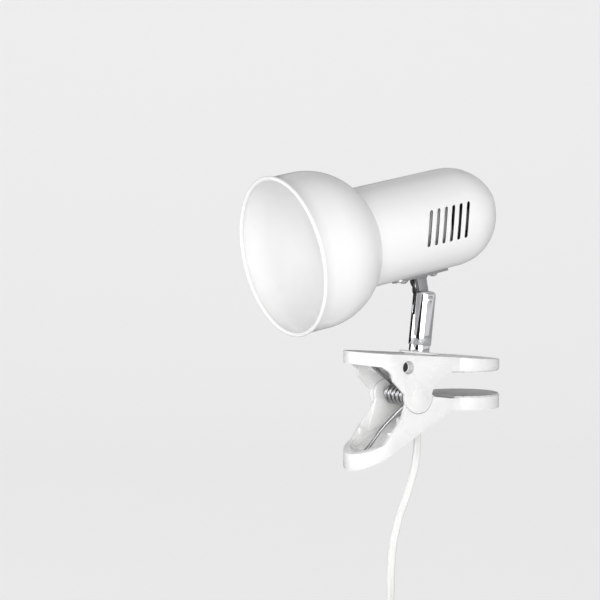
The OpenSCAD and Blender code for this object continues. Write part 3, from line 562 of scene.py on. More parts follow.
# %% [markdown]
# ### Moulded plastic
# The clip, switch and plug are injection moulded, and the cord's vinyl is extruded. The skin copies
# a polished tool, so it has a shine, a very fine texture and soft smears from handling. All that
# sets one of them apart is tone, gloss and grain, so one recipe serves, also for the rubbers.

# %% Plastics
def moulding(first, second, low_rough, high_rough, grain=1800.0, depth=0.000012):
    """Clouds mix two tones, clouds and smears set the gloss, and fine noise makes the texture."""
    def build(tree, shader, vector):
        s = place(tree, skin, Vector=vector, Grain=grain)
        h = place(tree, smear, Vector=vector, Size=55.0)
        tint(tree, shader, s["Cloud"], first, second)
        rough(tree, shader, mixture(tree, s["Cloud"], 0.4, h["Mask"], 0.6), low_rough, high_rough)
        bump(tree, shader, s["Height"], depth)
    return build


plastics = {
    # Partly painted shade: the clip's white is set a little greyer than the shade's paint, for the weaker
    # light on it.
    "clip_white": moulding((0.825, 0.823, 0.816), (0.803, 0.801, 0.792), 0.24, 0.36),
    "switch_white": moulding((0.86, 0.858, 0.845), (0.84, 0.838, 0.822), 0.34, 0.46, 1400.0, 0.00002),
    "rocker_white": moulding((0.82, 0.82, 0.81), (0.80, 0.80, 0.79), 0.2, 0.3),
    # Partly painted shade: the cord's vinyl is set greyer, for the weaker light low down.
    "vinyl_white": moulding((0.785, 0.783, 0.771), (0.755, 0.753, 0.737), 0.38, 0.5, 900.0, 0.00002),
    "rubber_black": moulding((0.022, 0.022, 0.023), (0.034, 0.034, 0.035), 0.6, 0.8, 1600.0, 0.00004),
    "rubber_grey": moulding((0.66, 0.66, 0.652), (0.61, 0.61, 0.602), 0.6, 0.8, 1600.0, 0.00004),
    "tie_black": moulding((0.03, 0.03, 0.031), (0.045, 0.045, 0.046), 0.4, 0.55, 1200.0, 0.00003),
    "wire_black": moulding((0.010, 0.010, 0.011), (0.018, 0.018, 0.019), 0.16, 0.26, 1200.0, 0.000008)}
plastics = {name: material(name, build) for name, build in plastics.items()}
print("plastics:", *plastics)

# %% [markdown]
# ### Metals
# Chrome for the stem and its pin, nickel for most screws and pins, bright zinc for the smallest
# screws and what is hidden in the clip, and zinc darkened as painted shade for the folded bracket.
# The lampholder's strap, behind the slots, and the screws sunk in the clip's side are near-black
# steel as painted shade, so that they read dark. Every metal mixes two tones over a fine grain, and
# chrome and brass add turning marks.

# %% Plated and drawn metals
def metal(first, second, low_rough, high_rough, size, depth, marks=None):
    """Marks, where given, are how fine the marks of the lathe are across and along."""
    def build(tree, shader, vector):
        b = place(tree, crystal, Vector=vector, Size=size)
        tint(tree, shader, b["Tone"], first, second)
        height = b["Height"]
        if marks:
            turned_marks = place(tree, lines, Vector=vector, Across=marks[0], Along=marks[1])
            height = mixture(tree, height, 0.4, turned_marks["Height"], 0.6)
        rough(tree, shader, height, low_rough, high_rough)
        bump(tree, shader, height, depth)
    return build


metals = {
    "chrome": metal((0.80, 0.81, 0.83), (0.74, 0.75, 0.77), 0.03, 0.12, 300.0, 0.0000007, (300.0, 4000.0)),
    "nickel": metal((0.70, 0.70, 0.69), (0.62, 0.62, 0.61), 0.14, 0.3, 700.0, 0.000006),
    "zinc": metal((0.58, 0.59, 0.60), (0.44, 0.45, 0.46), 0.26, 0.48, 900.0, 0.00001),
    "brass": metal((0.78, 0.60, 0.32), (0.66, 0.49, 0.24), 0.2, 0.38, 800.0, 0.000008, (500.0, 3000.0)),
    # Painted shade: the bracket's zinc is set dark for the shadow under the barrel.
    "painted_shade_zinc": metal((0.46, 0.465, 0.475), (0.33, 0.335, 0.345), 0.3, 0.5, 800.0, 0.00001),
    # Painted shade: near-black steel for the strap behind the slots and the screws sunk in the clip's side.
    "painted_shade_steel": metal((0.075, 0.075, 0.078), (0.045, 0.045, 0.047), 0.34, 0.5, 900.0, 0.00001),
    # Partly painted shade: the wire's steel tones are set dark, for the dim room it reflects.
    "spring_wire": metal((0.50, 0.50, 0.51), (0.34, 0.34, 0.35), 0.16, 0.34, 700.0, 0.00001)}
metals = {name: material(name, build, metallic=1.0) for name, build in metals.items()}
print("metals:", *metals)

# %% [markdown]
# ### Ceramic, glass and sleeving
# The lampholder is pressed steatite, chalky and a little speckled. The bulb is silvered glass with
# a stippled front. The wires in the housing wear braided glass sleeving, woven from two crossing
# sets of threads, which is what the two sines make.

# %% Ceramic, glass, sleeves
def pressed_steatite(tree, shader, vector):
    """Clouds and grey specks, whichever is stronger, over a chalky skin."""
    s = place(tree, skin, Vector=vector, Grain=1500.0)
    d = place(tree, speck, Vector=vector, Density=900.0, Size=0.18)
    spots = maths(tree, "MAXIMUM", times(tree, s["Cloud"], 0.4), d["Mask"])
    # Partly painted light: the holder's tones are set pale, to lift it where it sits in the housing's shade
    # behind the slots.
    tint(tree, shader, spots, (0.84, 0.835, 0.82), (0.70, 0.695, 0.68))
    rough(tree, shader, s["Cloud"], 0.5, 0.7)
    bump(tree, shader, s["Height"], 0.00004)


def silvering(tree, shader, vector):
    """A mirror with faint mottling."""
    b = place(tree, crystal, Vector=vector, Size=260.0)
    tint(tree, shader, b["Tone"], (0.84, 0.85, 0.87), (0.76, 0.77, 0.80))
    rough(tree, shader, b["Height"], 0.08, 0.2)
    bump(tree, shader, b["Height"], 0.00002)


def stippled_glass(tree, shader, vector):
    """Clear glass with close, even dimples from a smooth Voronoi pattern."""
    dimples = {"Vector": vector, "Scale": 520.0, "Randomness": 0.25}
    dimples = node(tree, "TexVoronoi", dimples, feature="SMOOTH_F1")
    s = place(tree, skin, Vector=vector, Grain=300.0)
    tint(tree, shader, s["Cloud"], (0.97, 0.98, 0.985), (0.93, 0.95, 0.96))
    rough(tree, shader, s["Cloud"], 0.04, 0.12)
    bump(tree, shader, dimples.outputs["Distance"], 0.0006)


def braid(tree, shader, vector):
    """It follows the wire's UV map, so it has no use for the vector."""
    w = place(tree, weave, Along=900.0, Round=6.0)
    tint(tree, shader, w["Thread"], (0.72, 0.70, 0.64), (0.55, 0.53, 0.47))
    rough(tree, shader, w["Thread"], 0.55, 0.75)
    bump(tree, shader, w["Height"], 0.00008)


steatite = material("steatite", pressed_steatite)
silvered = material("silvered_glass", silvering, metallic=1.0)
lens_glass = material("lens_glass", stippled_glass, transmission_weight=0.92, ior=1.48)
sleeve_pale = material("sleeve_pale", braid)
print("materials:", len(bpy.data.materials))

# %% Dress the cord
fitted(cord_hang, plastics["vinyl_white"], "clip", "cord_upper", slot="white_cord")
fitted(cord_coiled, plastics["vinyl_white"], "clip",
       "cord_lower", "cord_coil", "cord_tail", slot="white_cord")

# %% [markdown]
# ## The shade
# Spun from sheet: a straight skirt with its edge rolled into a bead, then one arc down to the
# neck, where a spigot slips inside the housing. It is a closed profile turned round the head's
# axis: point (i, j) is profile point j, turned by angle i.

# %% Turned pieces
def arc(centre, radius, start, end, n):
    """Points on a circle in the (along, radius) plane, angles in degrees from the axis direction."""
    t = np.radians(np.linspace(start, end, n))
    return np.stack([centre[0] + radius * np.cos(t), centre[1] + radius * np.sin(t)], 1)


def turned(name, profile, frame_matrix=HEAD, n=160, closed=True, upright=False):
    """Turns (along, radius) points about the frame's x axis, or its z axis if upright. The UV map
    runs in metres round and along, so a pattern keeps its size."""
    t = np.linspace(0, 2 * math.pi, n, endpoint=False)
    s, r = profile[None, :, 0] + 0 * t[:, None], profile[None, :, 1] * np.ones((n, 1))
    a, b = r * np.cos(t)[:, None], r * np.sin(t)[:, None]
    grid = np.stack([a, b, s], -1) if upright else np.stack([s, a, b], -1)
    along = distance_along(profile)[None, :] * 0.001
    uv = np.stack(np.broadcast_arrays(t[:, None] * 0.03, along), -1)
    faces = quads(n, len(profile), True, closed)
    return tidy(mesh_object(name, placed(grid.reshape(-1, 3), frame_matrix), faces, uv))


def rounded(points, radius, n=5):
    """A closed outline with each corner cut back and replaced by a small quadratic curve."""
    p = np.asarray(points, float)
    radius = np.asarray(radius, float)[:, None]

    def cut_towards(other):
        way = other - p
        far = np.linalg.norm(way, axis=1, keepdims=True)
        return p + way / far * np.minimum(radius, far * 0.49)

    start, end = cut_towards(np.roll(p, 1, 0)), cut_towards(np.roll(p, -1, 0))
    t = np.linspace(0, 1, n)[None, :, None]
    curve = start[:, None] * (1 - t) ** 2 + p[:, None] * 2 * t * (1 - t) + end[:, None] * t**2
    return curve.reshape(-1, 2)


# %% Shade
SKIRT_R, SKIRT_END, BEAD = 49.0, 20.3, 1.3
run, fall = NECK - SKIRT_END, SKIRT_R - BARREL_R
arc_r = (run**2 + fall**2) / (2 * fall)
centre = (SKIRT_END, SKIRT_R - arc_r)
sweep_end = math.degrees(math.atan2(BARREL_R - centre[1], run))
inner_end = math.degrees(math.acos((BARREL_R + 0.4) / (arc_r - SHEET)))
bead_at = (BEAD, SKIRT_R - 0.3)
spigot = [[NECK, BARREL_R], [NECK, 30.85], [60.6, 30.85], [60.6, 29.7], [52.4, 29.7]]
shade_profile = np.vstack([
    arc(bead_at, BEAD, -45, -180, 11), arc(bead_at, BEAD, -190, -290, 9),
    [[x, SKIRT_R] for x in (3.6, 9.0, 14.6)], arc(centre, arc_r, 90, sweep_end, 34),
    rounded(spigot, [0.3, 0.1, 0.3, 0.3, 0.1], 4), arc(centre, arc_r - SHEET, inner_end, 90, 34),
    [[x, SKIRT_R - SHEET] for x in (14.6, 9.0, 3.4)]])
shade = turned("shade", shade_profile, n=192)
print("shade profile points", len(shade_profile), "box", [round(v, 4) for v in shade.dimensions])

# %% Two finishes on one piece
def lined(obj, test):
    """Gives the second material to the faces whose centre passes a test of (along, radius, out),
    where out is positive on faces that look away from the head's axis."""
    centre_of = np.zeros(len(obj.data.polygons) * 3)
    normal_of = np.zeros_like(centre_of)
    obj.data.polygons.foreach_get("center", centre_of)
    obj.data.polygons.foreach_get("normal", normal_of)
    back = np.linalg.inv(HEAD)
    c = centre_of.reshape(-1, 3) * 1000 @ back[:3, :3].T + back[:3, 3]
    d = normal_of.reshape(-1, 3) @ back[:3, :3].T
    radius = np.linalg.norm(c[:, 1:], axis=1)
    out = (c[:, 1:] * d[:, 1:]).sum(1) / np.maximum(radius, 1e-6)
    chosen = test(c[:, 0], radius, out).astype(np.int32)
    obj.data.polygons.foreach_set("material_index", chosen)
    return int(chosen.sum())


fitted(shade, [enamel_gloss, enamel_lining], "head", "front_shade", slot="white_paint")
print("lining faces", lined(shade, lambda s, r, out: (out < -0.05) & (s > 2.2)))

# %% [markdown]
# ## The housing and its vent slots
# A drawn steel cup with a domed end. Six slanted slots on each side let the heat out. A boolean
# would leave long thin triangles, which catch the light badly on gloss paint, so the grid itself
# opens: each slot has a pair of columns that lie together except along the slot, where they part
# by its width and round off at its ends. The columns lean with the slots and straighten towards
# the barrel's top and bottom.

# %% Housing surface
# How many slots, their pitch, where their middle is along the barrel and their slant. Then half a
# slot's width, how far its round ends' centres are from its middle and the radius of its bow. Last,
# where the dome begins and how high the slots' middle is.
SLOTS, SLOT_PITCH, SLOT_MIDDLE, SLOT_SLANT = 6, 5.73, 105.3, 15.5
SLOT_HALF, SLOT_REACH, SLOT_BOW = 1.12, 10.38, 50.7
DOME_FROM, SLOT_CENTRE_Z = 125.8, -0.2


def round_angles():
    """The grid's rows: angles round the barrel, close together where the slots' ends round off."""
    ends = SLOT_REACH + SLOT_HALF * np.sin(np.radians([-90, 0, 30, 55, 75, 90, 100]))
    heights = np.concatenate([np.linspace(0, SLOT_REACH - SLOT_HALF, 9), ends,
                              np.linspace(12.3, BARREL_R * 0.985, 12), [BARREL_R]])
    quarter = np.degrees(np.arcsin(np.clip(np.unique(heights.round(4)) / BARREL_R, 0, 1)))
    all_round = np.concatenate([quarter, 180 - quarter, 180 + quarter, 360 - quarter])
    return np.radians(np.unique(all_round.round(5) % 360))


def columns_along():
    """The grid's columns: each one's place, which way it parts (-1, 1 or not at all), and how much
    of the slots' lean it shares. The plain stretch takes up the lean little by little."""
    mids = SLOT_MIDDLE + (np.arange(SLOTS) - (SLOTS - 1) / 2) * SLOT_PITCH
    rows = [(NECK, 0, 0.0)]
    for at in np.linspace(NECK + 1.2, mids[0] - 5.2, 7):
        rows.append((at, 0, max(0.0, 1 - (mids[0] - 4.5 - at) / 24) ** 2 * 0.9))
    for at in mids:
        rows += [(at - 1.8, 0, 1.0), (at, -1, 1.0), (at, 1, 1.0), (at + 1.8, 0, 1.0)]
    return np.array(rows + [(DOME_FROM, 0, 0.25)]).T


def vented_cup():
    """Grid over (angle, along): x = along + lean(z) +- opening(z), y and z on the circle. Past the
    cylinder the columns follow a quarter circle to the pole."""
    angles = round_angles()
    y, z = -BARREL_R * np.cos(angles), BARREL_R * np.sin(angles)
    from_centre, slant = z - SLOT_CENTRE_Z, math.radians(SLOT_SLANT)
    length = np.abs(from_centre) / math.cos(slant)
    end = np.sqrt(np.clip(SLOT_HALF**2 - (length - SLOT_REACH) ** 2, 0, None))
    opening = np.where(length <= SLOT_REACH, SLOT_HALF, end) / math.cos(slant)
    calm = np.clip((BARREL_R - np.abs(z)) / (BARREL_R - 12.5), 0, 1)
    bow = SLOT_BOW - np.sqrt(SLOT_BOW**2 - np.minimum(length, 12.0) ** 2) - 0.7
    lean = from_centre * math.tan(slant) * calm**0.8 + bow * calm
    columns, sign, share = columns_along()
    s = columns[None, :] + lean[:, None] * share[None, :] + sign[None, :] * opening[:, None]
    wall = np.stack([s, y[:, None] + 0 * s, z[:, None] + 0 * s], -1)
    t = np.radians(np.linspace(0, 90, 22))[None, 1:]
    over = DOME_FROM + (s[:, -1:] - DOME_FROM) * np.cos(t) + BARREL_R * np.sin(t)
    cap = np.stack([over, y[:, None] * np.cos(t), z[:, None] * np.cos(t)], -1)
    grid = np.concatenate([wall, cap], 1)
    keep = np.ones((len(angles), grid.shape[1] - 1), bool)
    beside = np.abs(z) < SLOT_REACH + SLOT_HALF + 0.01
    keep[np.ix_(beside & np.roll(beside, -1), np.flatnonzero(sign == -1))] = False
    return grid, keep.reshape(-1)


cup, keep = vented_cup()
cup_faces = quads(cup.shape[0], cup.shape[1], True, False)[keep]
print("housing grid", cup.shape, "faces kept", len(cup_faces))

# %% Housing walls
housing = tidy(mesh_object("housing", placed(cup.reshape(-1, 3), HEAD), cup_faces), merge=4e-6)
thick = housing.modifiers.new("sheet", "SOLIDIFY")
thick.thickness, thick.offset, thick.use_even_offset = SHEET * 0.001, -1.0, True
bevelled(housing, 0.22, 2, 50)
bake(housing, 40)
fitted(housing, [enamel_gloss, housing_inside_painted_shade], "head", "rear_housing", slot="white_paint")
print("inner faces", lined(housing, lambda s, r, out: (r < 31.4) & (out < 0.2) & (s < 156.4)))

# %% [markdown]
# ## The stem
# Turned brass, chromed. A round shoulder ends it, and a saw cut makes the fork that holds the
# head's tongue. Turning a profile gives the body. The saw cut, the pin's hole and the bore run
# right through it, which a profile can't show, so cutters are taken away with booleans.

# %% Cutters
def solid_box(low, high, frame_matrix):
    """A closed block between two corners, as a two by two by two grid of points."""
    g = np.stack(np.meshgrid(*[[a, b] for a, b in zip(low, high)], indexing="ij"), -1).reshape(-1, 3)
    f = [[0, 1, 3, 2], [4, 6, 7, 5], [0, 4, 5, 1], [2, 3, 7, 6], [0, 2, 6, 4], [1, 5, 7, 3]]
    return tidy(mesh_object("cutter", placed(g.astype(float), frame_matrix), f))


def solid_rod(centre, radius, half, frame_matrix, axis):
    """A closed rod along y or z of its frame."""
    profile = np.array([[-half, 0], [-half, radius], [half, radius], [half, 0]], float)
    z_to_y = np.array([[1, 0, 0, 0], [0, 0, 1, 0], [0, -1, 0, 0], [0, 0, 0, 1]], float)
    turn = shift(*centre) @ (z_to_y if axis == "y" else np.eye(4))
    return turned("cutter", profile, frame_matrix @ turn, 48, False, True)


def carve(obj, *cutters):
    """Takes each cutter out of the piece and removes it."""
    for c in cutters:
        cut = obj.modifiers.new("cut", "BOOLEAN")
        cut.operation, cut.object, cut.solver = "DIFFERENCE", c, "EXACT"
        bake(obj)
        bpy.data.objects.remove(c)


def softened(obj, width_mm, segments=2, angle=32):
    """Rounds a piece's edges and evens the shading of its flats."""
    bevelled(obj, width_mm, segments, angle)
    flats = obj.modifiers.new("flats", "WEIGHTED_NORMAL")
    flats.keep_sharp, flats.weight = True, 80
    bake(obj, 40)


# %% Stem
STEM_FOOT, STEM_EDGE, SHOULDER, STEM_TOP = 5.62, 0.3, 2.6, 40.3
stem_profile = np.vstack([
    [[STEM_FOOT, 0.01], [STEM_FOOT, 5.4], [STEM_FOOT, STEM_R - STEM_EDGE], [STEM_FOOT + STEM_EDGE, STEM_R]],
    [[height, STEM_R] for height in (12, 20, 28)],
    arc((STEM_TOP - SHOULDER, STEM_R - SHOULDER), SHOULDER, 90, 0, 14), [[STEM_TOP, 0.01]]])
stem = turned("stem", stem_profile, SEAT, 96, False, True)
saw_cut = solid_box((-20, -1.7, 24.4), (20, 1.7, 60), SEAT)
pin_hole = solid_rod((0, 0, PIN_HEIGHT), 1.55, 20, SEAT, "y")
bore = solid_rod((0, 0, 10), 3.6, 22, SEAT, "z")
carve(stem, saw_cut, pin_hole, bore)
softened(stem, 0.18, 2, 50)
fitted(stem, metals["chrome"], "stem", "stem_tube", slot="chrome")

# %% Collar and flange
collar_profile = rounded([[1.3, 5.05], [1.3, 6.6], [5.6, 6.6], [5.6, 5.05]], [0.1, 0.25, 0.25, 0.1], 4)
collar = turned("collar", collar_profile, SEAT, 96, True, True)
fitted(collar, metals["chrome"], "clip", "swivel_collar", slot="chrome")
flange_outline = [[0, 5.05], [0, 12.5], [0.8, 12.5], [1.3, 12.0], [1.3, 5.05]]
flange_profile = rounded(flange_outline, [0.1, 0.3, 0.5, 0.6, 0.1], 5)
flange = turned("flange", flange_profile, SEAT, 96, True, True)
fitted(flange, enamel_gloss, "clip", "base_flange", slot="white_paint")

# %% [markdown]
# ## The spring
# One wire: a leg under the upper handle, five and a bit turns round the pivot pin, and a leg down
# the trough of the lower handle. When the jaw opens, the lower leg goes with it and the turns share
# the twist.

# %% Torsion spring
TROUGH_SLOPE = math.tan(math.radians(29.5))
COIL_X, COIL_Z, COIL_R, COIL_START, COIL_WIDTH = -46, -14.1, 5.4, 11.4, 23.8


def trough_floor(x):
    """Height of the lower handle's underside at x."""
    return -24.0 + (x + 22.0) * TROUGH_SLOPE


def plate_under(x):
    """Height of the upper plate's underside at x."""
    return PLATE_TOP - x * PLATE_SLOPE - PLATE_THICK


turns = np.radians(np.linspace(52.0, -1885.0, 200))
across = COIL_START - COIL_WIDTH * np.linspace(0, 1, 200)
helix = np.stack([COIL_X + COIL_R * np.cos(turns), across, COIL_Z + COIL_R * np.sin(turns)], 1)
off_coil = np.array([-58.7, COIL_START, 3.1])
upper_leg = np.array([
    [-72.5, COIL_START, plate_under(-72.5) - 1.4], [-69, COIL_START, plate_under(-69) - 1.5],
    [-65.6, COIL_START, 8.2], off_coil, (helix[0] + off_coil) / 2])
lower_leg = np.array([
    [-51, -12.1, -20.1], [-53.6, -11.2, -21.9], [-63.5, -5.6, -34],
    [-71.6, -0.9, trough_floor(-71.6) + 5.1], [-76.4, -0.2, trough_floor(-76.4) + 4.3]])
leg_in = spline(np.vstack([upper_leg, helix[0] * 0.9 + upper_leg[-1] * 0.1]), 6)[:-1]
leg_out = spline(np.vstack([helix[-1] * 0.7 + lower_leg[0] * 0.3, lower_leg]), 6)
spring_path = evenly(np.vstack([leg_in, helix, leg_out]), 0.8)
spring = swept("spring", spring_path, round_profile(1.1), [0.05, 1, 0.03])
finished(spring, metals["spring_wire"], "torsion_spring", slot="spring_steel")
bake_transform(spring)
print("spring wire", round(route_length(spring_path)), "mm long")

# %% [markdown]
# ## The lead between stem and head
# Two wires in smooth black insulation, glossy enough to show their twist, which goes once round in
# 14 mm. Each follows the lead's route at a small offset that turns about it.

# %% Head lead
def strand(path, offset, pitch, phase):
    """Point s is path(s) + offset * (u cos(a) + v sin(a)), where a = 2 pi s / pitch + phase."""
    run = np.gradient(path, axis=0)
    run /= np.linalg.norm(run, axis=1, keepdims=True)
    v = np.array([[0.0, 1.0, 0.0]])
    u = np.cross(v, run)
    step = route_length(path) / (len(path) - 1)
    a = (2 * math.pi * np.arange(len(path)) * step / pitch + phase)[:, None]
    return path + offset * (u * np.cos(a) + v * np.sin(a))


TWIST_OFFSET, TWIST_PITCH = 0.82, 14.0
lead_path = evenly(spline([
    [0, 0, 15], [-0.2, 0, 21.5], [-2.6, 0, 27], [-5.1, 0, 32], [-6.4, 0, 36.6], [-9.2, 0, 42.4],
    [-11.3, 0, 49.1], [-13.4, 0, 55.8], [-14.4, 0, 59]], 6), 0.5)
for k, stands_for in enumerate([["head_lead"], []]):
    route = strand(lead_path, TWIST_OFFSET, TWIST_PITCH, 0.6 + k * math.pi)
    lead = swept(f"head_lead_{k}", route, round_profile(0.8, 14), [1, 0, 0.1], SEAT)
    finished(lead, plastics["wire_black"], *stands_for, slot="black_sleeve")
    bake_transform(lead)
print("lead", round(route_length(lead_path)), "mm long")

# %% [markdown]
# ## The bulb
# A reflector bulb, 50 mm across: a silvered bowl, a stippled front glass and a ceramic cap with
# two studs that twist into the holder. It sits deep in the shade, so only a look into the mouth
# shows it.

# %% Bulb
def bowl_line(start, end, radius, n):
    """Points on a circle whose centre lies 9 mm beyond the axis, at 46 mm along it."""
    along = np.linspace(start, end, n)
    return np.stack([along, -9 + np.sqrt(radius**2 - (along - 46) ** 2)], 1)


bowl_profile = np.vstack([
    [[42.6, 23.8], [42.6, 24.7], [42.9, 25.0]], bowl_line(46, 73, 34.0, 28),
    [[73.0, 9.4], [77.0, 9.4], [77.0, 8.0], [71.0, 8.0]], bowl_line(70.4, 46, 32.8, 26), [[46, 23.8]]])
bowl = turned("bulb_bowl", bowl_profile, HEAD, 128)
fitted(bowl, silvered, "head", "bulb_reflector", slot="bulb_glass")
lens_profile = np.array([
    [44.4, 0.01], [44.4, 12], [44.4, 23.5], [44.1, 23.74], [42.3, 23.74], [42.0, 23.5], [42.0, 20.2],
    [42.5, 19.6], [42.5, 19.2], [42.0, 18.8], [41.9, 10], [41.8, 0.01]])
lens = turned("bulb_front", lens_profile, HEAD, 128, False)
fitted(lens, lens_glass, "head", "bulb_lens", slot="lens_glass")

# %% [markdown]
# ## The rest of the CAD's pieces
# Levers, screws, switch and plug already have their true shape, and making them again would gain
# nothing. Each is copied and welded, its flat triangles are joined, its edges get the small radius
# that any moulded or stamped edge has, and it takes its finish.

# %% Dressed copies
slot_of = {s["node"]: s["material_slot"] for s in frame["record"]["subparts"]}


def dressed(name, finish, round_mm, segments=2):
    """A welded copy of a CAD node with softened edges, which stands for the node."""
    source = frame["nodes"][name]
    bm = bmesh.new()
    bm.from_mesh(source.data)
    bmesh.ops.remove_doubles(bm, verts=bm.verts, dist=2e-6)
    bmesh.ops.dissolve_limit(bm, angle_limit=math.radians(0.6), verts=bm.verts, edges=bm.edges)
    data = bpy.data.meshes.new(name + "_piece")
    bm.to_mesh(data)
    bm.free()
    smooth(data, 35)
    obj = added(name + "_piece", data)
    if round_mm:
        softened(obj, round_mm, segments)
    fitted(obj, finish, source["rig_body"], name, slot=slot_of[name])


for piece in ["upper_lever", "lower_lever"]:
    dressed(piece, plastics["clip_white"], 0.28)
for piece in ["switch_top", "switch_bottom", "plug_body"]:
    dressed(piece, plastics["switch_white"], 0.5, 3)

# %% Small pieces: names, finish and the radius of their edges in millimetres
finishes = {**plastics, **metals, "steatite": steatite}
for pieces, finish, edge in [
        ("cord_grip", "clip_white", 0.3), ("switch_rocker", "rocker_white", 0.25),
        ("plug_relief", "vinyl_white", 0.25), ("upper_grip lower_grip", "rubber_grey", 0.0),
        ("lead_grommet", "rubber_black", 0.15), ("cord_tie", "tie_black", 0.3),
        ("strap_screws bracket_screws", "nickel", 0.06), ("tilt_pin", "chrome", 0.06),
        ("pivot_pin", "nickel", 0.1), ("side_screws", "painted_shade_steel", 0.06),
        ("grip_screws switch_screws", "zinc", 0.05), ("bulb_pins", "nickel", 0.1),
        ("plug_pins", "nickel", 0.15), ("pin_ring", "spring_wire", 0.05),
        ("tilt_washers", "spring_wire", 0.0), ("hinge_bracket", "painted_shade_zinc", 0.18),
        ("bracket_nuts", "zinc", 0.1), ("holder_strap", "painted_shade_steel", 0.12),
        ("swivel_washer", "zinc", 0.08), ("spacer_bar", "zinc", 0.1), ("stem_nut", "brass", 0.15),
        ("stem_nipple holder_contacts", "brass", 0.05), ("lamp_holder bulb_base", "steatite", 0.3)]:
    for piece in pieces.split():
        dressed(piece, finishes[finish], edge)

# %% Wires in the housing, one on each side of its middle
for k, stands_for in enumerate([["holder_wires"], []]):
    s = 2 * k - 1
    run = evenly(spline([
        [113, s * 5, 0], [120, s * 5, 0], [124.6, s * 5, -3], [124.6, s * 4.4, -12],
        [121, s * 3.6, -20], [114, s * 2.6, -24.2], [104, s * 1.6, -24.8], [95.6, s * 1.25, -23.8]], 6), 0.9)
    core = swept(f"holder_wire_{k}", run, round_profile(1.1, 10), [0, 0.2, 1], HEAD)
    fitted(core, sleeve_pale, "head", *stands_for, slot="wire_sleeve")


# %% [markdown]
# ## The room
# A pale floor, just under the cord's lowest turn, curves up into a wall. From below it is clear, so
# that the lamp can be seen from there too. The key is a broad box in front: what faces the viewer
# is brightest, and the barrel's top falls away to grey. A weak fill opens the clip's side, and a
# side box draws a pale edge on round parts. The world grows darker with height, so undersides are
# lifted and tops are not. A change of light moves every white at once, so the background has its
# own tone, which only camera rays see.

# %% Floor
def cove(floor_z, near=-2.2, far=2.6, rise=2.2, radius=0.7, half=3.2):
    """A sheet that runs level away from the viewer, turns up a quarter circle and stands as a wall.
    Point (i, j) is run[i] away from the viewer, up[i] high and w[j] across, in metres."""
    away = -direction(VIEW_AZIMUTH, 0.0)
    across, upwards = np.array([-away[1], away[0], 0.0]), np.array([0, 0, 1.0])
    t = np.radians(np.linspace(0, 90, 24))
    run = np.concatenate([[near], far - radius + radius * np.sin(t), [far]])[:, None, None]
    up = np.concatenate([[0.0], radius - radius * np.cos(t), [rise]])[:, None, None]
    w = np.linspace(-half, half, 9)[None, :, None]
    return np.array([0, 0, floor_z]) + run * away + up * upwards + w * across


FLOOR_GAP = 0.0002
sheet = cove(cad_low[2] - FLOOR_GAP)
floor = mesh_object("floor", sheet.reshape(-1, 3), quads(sheet.shape[0], sheet.shape[1], False, False))
floor.data.polygons.foreach_set("use_smooth", np.ones(len(floor.data.polygons), bool))
print("floor at", round(float(sheet[..., 2].min()) * 1000, 1), "mm")

# %% Floor finish
def unlit(tree, colour):
    """The shader of a surface that shows one colour whatever the light."""
    return node(tree, "Emission", {"Color": (*colour, 1), "Strength": 1.0}).outputs[0]


def either(tree, share, first, second):
    """The first shader, giving way to the second by a share."""
    return node(tree, "MixShader", {0: share, 1: first, 2: second}).outputs[0]


def shown(obj, name, build):
    """A material whose whole surface is the shader that build(tree, Principled node) gives."""
    m = bpy.data.materials.new(name)
    m.use_nodes = True
    tree = m.node_tree
    surface = build(tree, tree.nodes["Principled BSDF"])
    tree.links.new(surface, tree.nodes["Material Output"].inputs["Surface"])
    obj.data.materials.append(m)


def paper(tree, plain):
    """Matt white, but mostly one pale tone to the camera, and clear to it from below."""
    fill(tree, plain, {"Base Color": (0.88, 0.88, 0.88, 1), "Roughness": 0.9})
    glow = unlit(tree, (0.94, 0.94, 0.942))
    seen = node(tree, "LightPath").outputs["Is Camera Ray"]
    sheet = either(tree, times(tree, seen, 0.75), plain.outputs[0], glow)
    from_below = times(tree, node(tree, "NewGeometry").outputs["Backfacing"], seen)
    return either(tree, from_below, sheet, node(tree, "BsdfTransparent").outputs[0])


shown(floor, "paper", paper)

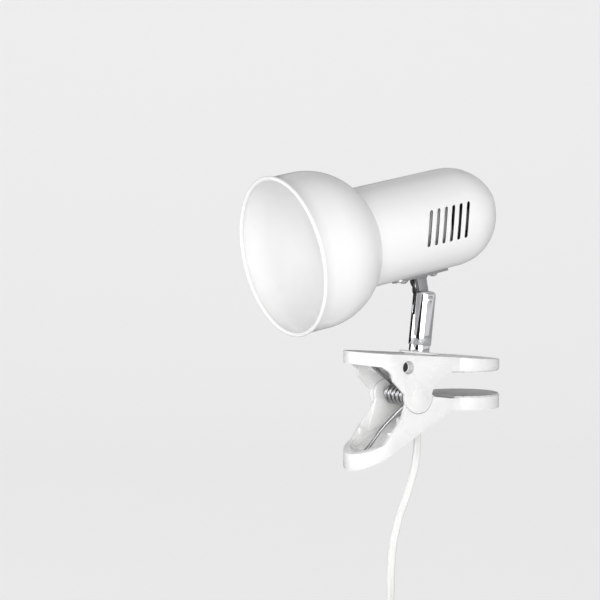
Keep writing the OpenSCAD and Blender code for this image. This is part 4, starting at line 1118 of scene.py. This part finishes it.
# %% Lamps
def softbox(name, azimuth, elevation, distance, size, power):
    """A square light that faces the lamp from a bearing, in degrees, metres and watts."""
    light = bpy.data.lights.new(name, "AREA")
    light.shape, light.size, light.energy = "SQUARE", size, power
    aimed(added(name, light), look_at + direction(azimuth, elevation) * distance)
    print(name, "light:", power, "W from", azimuth, "degrees")


softbox("key", -25, 0, 1.6, 1.5, 27.5)
softbox("fill", -102, 4, 1.7, 1.3, 5.0)
softbox("side", -128, 8, 1.8, 1.1, 9.0)

# %% [markdown]
# ## Cards for the chrome
# Polished metal shows the room, so an empty white room leaves it flat. Two dark cards face the
# stem, one from the left and one from behind. Only glossy rays see them: they draw dark bands on
# the stem and hardly change the light.

# %% Cards
stem_middle = np.array([-0.03, 0.0, 0.035])


def card(name, azimuth, distance, wide, tall, tone):
    """An upright card that faces the stem, in metres, with one tone of grey."""
    d = direction(azimuth, 0)
    side = np.array([math.cos(math.radians(azimuth)), math.sin(math.radians(azimuth)), 0.0])
    up = np.cross(d, side)
    g = np.array([[-1, -1], [1, -1], [1, 1], [-1, 1]]) * np.array([wide, tall]) / 2
    corners = stem_middle + d * distance + g[:, :1] * side + g[:, 1:] * up
    obj = mesh_object(name, corners, [[0, 1, 2, 3]])
    shown(obj, name, lambda tree, plain: unlit(tree, (tone, tone, tone)))
    obj.visible_camera = obj.visible_diffuse = obj.visible_shadow = obj.visible_transmission = False


card("dark_left", -62, 0.62, 0.42, 0.5, 0.01)
card("dark_back", -178, 0.8, 1.2, 0.7, 0.02)

# %% World
world = bpy.context.scene.world or bpy.data.worlds.new("world")
bpy.context.scene.world = world
world.use_nodes = True
sky = world.node_tree
look = node(sky, "TexCoord")
height = node(sky, "SeparateXYZ", {"Vector": look.outputs["Generated"]})
background = sky.nodes["Background"]
background.inputs["Color"].default_value = (0.9, 0.9, 0.91, 1)
graded = spread_to(sky, height.outputs["Z"], -0.35, 0.8, 1.06, 0.25)
seen = node(sky, "LightPath").outputs["Is Camera Ray"]
strength = node(sky, "Mix", {"Factor": seen, "A": graded, "B": 0.9}, data_type="FLOAT")
sky.links.new(strength.outputs["Result"], background.inputs["Strength"])
bpy.context.scene.view_settings.view_transform = "Standard"
